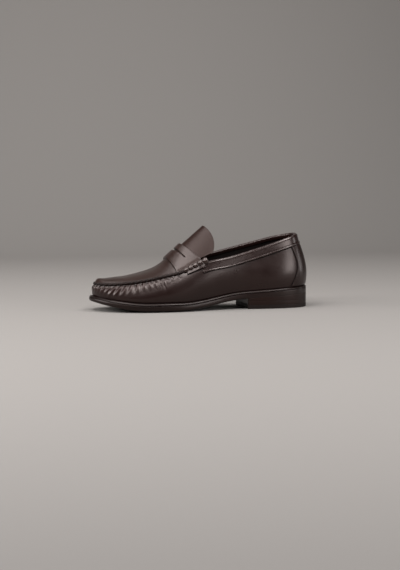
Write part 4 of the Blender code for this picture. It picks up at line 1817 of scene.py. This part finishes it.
@dataclass
class Bottom:
    """Outsole, welt, insole and the stacked heel."""

    last: Last
    leathers: Leathers
    welt_underlap: float = 3.4
    insole_rise: float = 2.2
    core_end: float = 0.07
    top_piece: float = 5.0
    lift: float = 5.0
    breast_hollow: float = 2.5
    heel_side_share: float = 0.8
    heel_core: float = 48.0
    heel_joint: float = 0.04
    heel_corner: float = 0.12
    heel_columns: int = 200
    corner_run: float = 8.0

    def middle(self, v: Array) -> Array:
        """The sole's middle line, shared by both sides and ending short of heel and toe."""
        share = self.core_end + (1 - 2 * self.core_end) * (1 - np.abs(1 - 2 * v))
        return (self.last.plan(share)[0] + self.last.plan(2 - share)[0]) / 2

    def heel_edge(self, v: Array, inset: Array) -> Array:
        """The heel's outline: from the inner corner of the breast round the back, then along the breast.

        Args:
            v: 0 to 1 round the outline.
            inset: distance in from the edge.

        Returns:
            Stations and places across.
        """
        last = self.last
        outer, inner = (last.at_station(last.breast, side) for side in Side)
        along = np.clip(v / self.heel_side_share, 0, 1)
        side = last.plan((inner - 2) + (outer - inner + 2) * along, inset)[0]
        side[:, 0] = np.minimum(side[:, 0], last.breast - inset)
        start, end = last.plan(np.array([outer, inner]))[0][:, 1]
        share = np.clip((v - self.heel_side_share) / (1 - self.heel_side_share), 0, 1)
        across = np.clip(start + (end - start) * share, start + inset, end - inset)
        station = last.breast - inset - self.breast_hollow * 4 * share * (1 - share)
        return np.where((v <= self.heel_side_share)[:, None], side, np.stack([station, across], axis=-1))

    def corner(self, station: Array) -> Array:
        """Share of the outsole's rounding that is left: little over the heel, all in front of it."""
        start, end = self.last.breast - self.corner_run, self.last.breast + self.corner_run
        return self.heel_corner + (1 - self.heel_corner) * smooth_step(start, end, station)

    def build(self) -> None:
        """Make the pieces from the floor up."""
        last, gap = self.last, self.last.gap
        underlap = self.welt_underlap
        outsole = FlatPiece(
            last,
            EdgeSection(low_round=1.1, high_round=0.5, fullness=0.3),
            lambda v, inset: last.plan(2 * v, inset)[0],
            self.middle,
            last.sole_bottom,
            last.outsole_top,
            crown=last.sole_crown,
            corner=self.corner,
        )
        add_piece("outsole_leather", outsole.make(), self.leathers.edge, ("outsole",))
        welt = FlatPiece(
            last,
            EdgeSection(
                low_round=0.4, high_round=1.6, fullness=0.15, corner_steps=1, core_shares=(1.0, 0.5)
            ),
            lambda v, inset: last.plan(2 * v, inset)[0],
            lambda v: last.ledge_plan(2 * v, underlap),
            lambda station: last.outsole_top(station) + gap,
            last.sole_top,
            ring=True,
        )
        add_piece("welt_strip", welt.make(), self.leathers.edge, ("welt",))
        sock = FlatPiece(
            last,
            EdgeSection(low_round=0.3, high_round=0.8),
            lambda v, inset: last.ledge_plan(2 * v, underlap + gap + inset),
            self.middle,
            lambda station: last.outsole_top(station) + gap,
            lambda station: last.sole_top(station) + self.insole_rise,
        )
        add_piece("insole_sock", sock.make(), self.leathers.lining, ("insole",))
        self.build_heel()

    def build_heel(self) -> None:
        """Make the three layers of the heel."""
        last, joint = self.last, self.heel_joint
        floor = -last.crown
        lift_bottom = floor + self.top_piece + last.gap
        lift_top = lift_bottom + self.lift + last.gap
        rubber, stack = (self.leathers.rubber, Slot.RUBBER), (self.leathers.stack, Slot.HEEL)
        layers = (
            ("heel_rubber_top_piece", "heel_top_piece", rubber, floor, lift_bottom - joint),
            ("heel_leather_lift", "heel_lift", stack, lift_bottom, lift_top - joint),
            ("heel_leather_wedge", "heel_wedge", stack, lift_top, None),
        )
        for name, node, (finish, slot), low, high in layers:
            layer = FlatPiece(
                last,
                EdgeSection(low_round=0.12, high_round=0.12, fullness=0.04, core_shares=(1.0, 0.6, 0.2)),
                self.heel_edge,
                lambda v: np.stack([np.full_like(v, self.heel_core), np.zeros_like(v)], axis=-1),
                lambda station: np.full_like(station, low),
                (lambda station: last.sole_bottom(station) - joint) if high is None else
                (lambda station: np.full_like(station, high)),
                columns=self.heel_columns,
            )
            add_piece(name, layer.make(), finish, (node,))


@dataclass(frozen=True)
class Softbox:
    """A large soft lamp that faces the shoe."""

    name: str
    place: tuple[float, float, float]
    aim: tuple[float, float, float]
    size: tuple[float, float]
    watts: float

    def build(self) -> None:
        """Hang the lamp."""
        lamp = bpy.data.lights.new(self.name, "AREA")
        lamp.shape = "RECTANGLE"
        lamp.size, lamp.size_y = self.size
        lamp.energy = self.watts
        hung = bpy.data.objects.new(self.name, lamp)
        hung.matrix_world = facing(self.place, self.aim)
        bpy.context.scene.collection.objects.link(hung)


def facing(place: tuple[float, float, float], aim: tuple[float, float, float]) -> Matrix:
    """A placement whose -Z axis looks from a place at an aim, with +Y upwards."""
    look = Vector(aim) - Vector(place)
    return Matrix.Translation(place) @ look.to_track_quat("-Z", "Y").to_matrix().to_4x4()


@dataclass
class Studio:
    """Pale floor that curves up behind, soft lamps, and the camera at the photograph's angle, in metres."""

    floor_colour: str = "#767370"
    paper_roughness: float = 0.85
    paper_grain: float = 4.0
    floor_steps: tuple[int, int] = (4, 120)
    floor_front: float = 3.0
    floor_back: float = 1.1
    curve: float = 0.7
    wall_height: float = 3.0
    half_width: float = 4.0
    azimuth: float = -14.0
    elevation: float = 5.0
    distance: float = 1.8
    target: tuple[float, float, float] = (0.0, 0.0, 0.0315)
    metres_per_pixel: float = 0.00137
    frame_height: int = 570
    sensor: float = 36.0
    farthest: float = 50.0
    world_colour: str = "#c9c7c5"
    world_strength: float = 0.08
    lamps: tuple[Softbox, ...] = (
        # name, place, aim, width and height, watts
        Softbox("overhead_softbox", (-0.45, -0.12, 1.35), (0.0, 0.0, 0.05), (0.7, 0.8), 12.5),
        Softbox("overhead_right_softbox", (0.54, -0.18, 1.45), (0.06, 0.0, 0.08), (0.5, 0.4), 13.0),
        Softbox("front_softbox", (0.04, -1.08, 1.08), (0.0, 0.0, 0.05), (0.7, 0.28), 11.0),
        Softbox("left_front_softbox", (-0.63, -0.79, 1.18), (-0.08, 0.0, 0.04), (0.5, 0.42), 9.0),
        Softbox("toe_softbox", (-1.20, -0.74, 0.86), (-0.12, 0.0, 0.03), (0.48, 0.36), 6.5),
        Softbox("left_softbox", (-1.48, -0.08, 0.60), (-0.12, 0.0, 0.03), (1.05, 0.48), 20.0),
        Softbox("right_softbox", (1.1, -1.05, 0.38), (0.12, 0.0, 0.06), (0.65, 0.65), 10.0),
        Softbox("heel_softbox", (1.6, -0.13, 0.26), (0.15, 0.0, 0.06), (0.35, 0.5), 2.6),
        Softbox("backdrop_softbox", (0.2, 0.7, 1.7), (0.2, 2.0, 0.6), (2.4, 0.8), 16.0),
    )

    def build(self) -> None:
        """Set up the floor, the lamps, the room's soft light and the camera."""
        self.build_floor()
        for lamp in self.lamps:
            lamp.build()
        world = bpy.data.worlds.new("soft_room")
        world.use_nodes = True
        shade = world.node_tree.nodes["Background"]
        shade.inputs["Color"].default_value = linear(self.world_colour)
        shade.inputs["Strength"].default_value = self.world_strength
        bpy.context.scene.world = world
        bpy.context.scene.view_settings.view_transform = "Standard"
        self.build_camera()

    def build_floor(self) -> None:
        """Lay the floor and curve it up behind the shoe."""
        bend = self.curve * math.pi / 2
        flat = self.floor_front + self.floor_back
        total = flat + bend + self.wall_height

        def place(u: Array, v: Array) -> Array:
            """A point of the floor.

            Args:
                u: 0 to 1 across it.
                v: 0 to 1 from the front, back and up.

            Returns:
                Points in millimetres.
            """
            along = v * total
            turn = np.clip((along - flat) / self.curve, 0, math.pi / 2)
            beyond = np.maximum(along - flat - bend, 0)
            y = np.minimum(along, flat) - self.floor_front + self.curve * np.sin(turn)
            z = self.curve * (1 - np.cos(turn)) + beyond
            return np.stack([(2 * u - 1) * self.half_width, y, z], axis=-1) / MM

        colour = self.floor_colour
        paper = Grained("backdrop_paper", colour, colour, self.paper_roughness, grain=self.paper_grain)
        floor = new_object("floor", new_sheet(*self.floor_steps, place), paper.material())

    def build_camera(self) -> None:
        """Place the camera where the photograph was taken from."""
        turn, tilt = math.radians(self.azimuth), math.radians(self.elevation)
        back = Vector((math.sin(turn) * math.cos(tilt), -math.cos(turn) * math.cos(tilt), math.sin(tilt)))
        lens = bpy.data.cameras.new("camera")
        lens.sensor_width = self.sensor
        lens.lens = self.sensor * self.distance / (self.frame_height * self.metres_per_pixel)
        lens.clip_end = self.farthest
        camera = bpy.data.objects.new("camera", lens)
        place = Vector(self.target) + back * self.distance
        camera.matrix_world = facing(tuple(place), self.target)
        bpy.context.scene.collection.objects.link(camera)
        bpy.context.scene.camera = camera


def main() -> None:
    """Load the frame, then build the studio and the shoe's pieces in order."""
    logging.basicConfig(level=logging.INFO, format="%(message)s")
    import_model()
    Studio().build()
    last = Last()
    leathers = Leathers()
    upper = Upper(last, leathers)
    upper.build()
    Seam(last, upper, leathers).build()
    Saddle(last, leathers).build()
    Tongue(last, leathers).build()
    Collar(last, leathers).build()
    HeelStrip(last, leathers).build()
    Bottom(last, leathers).build()
    bpy.context.view_layer.update()


if __name__ == "__main__":
    main()
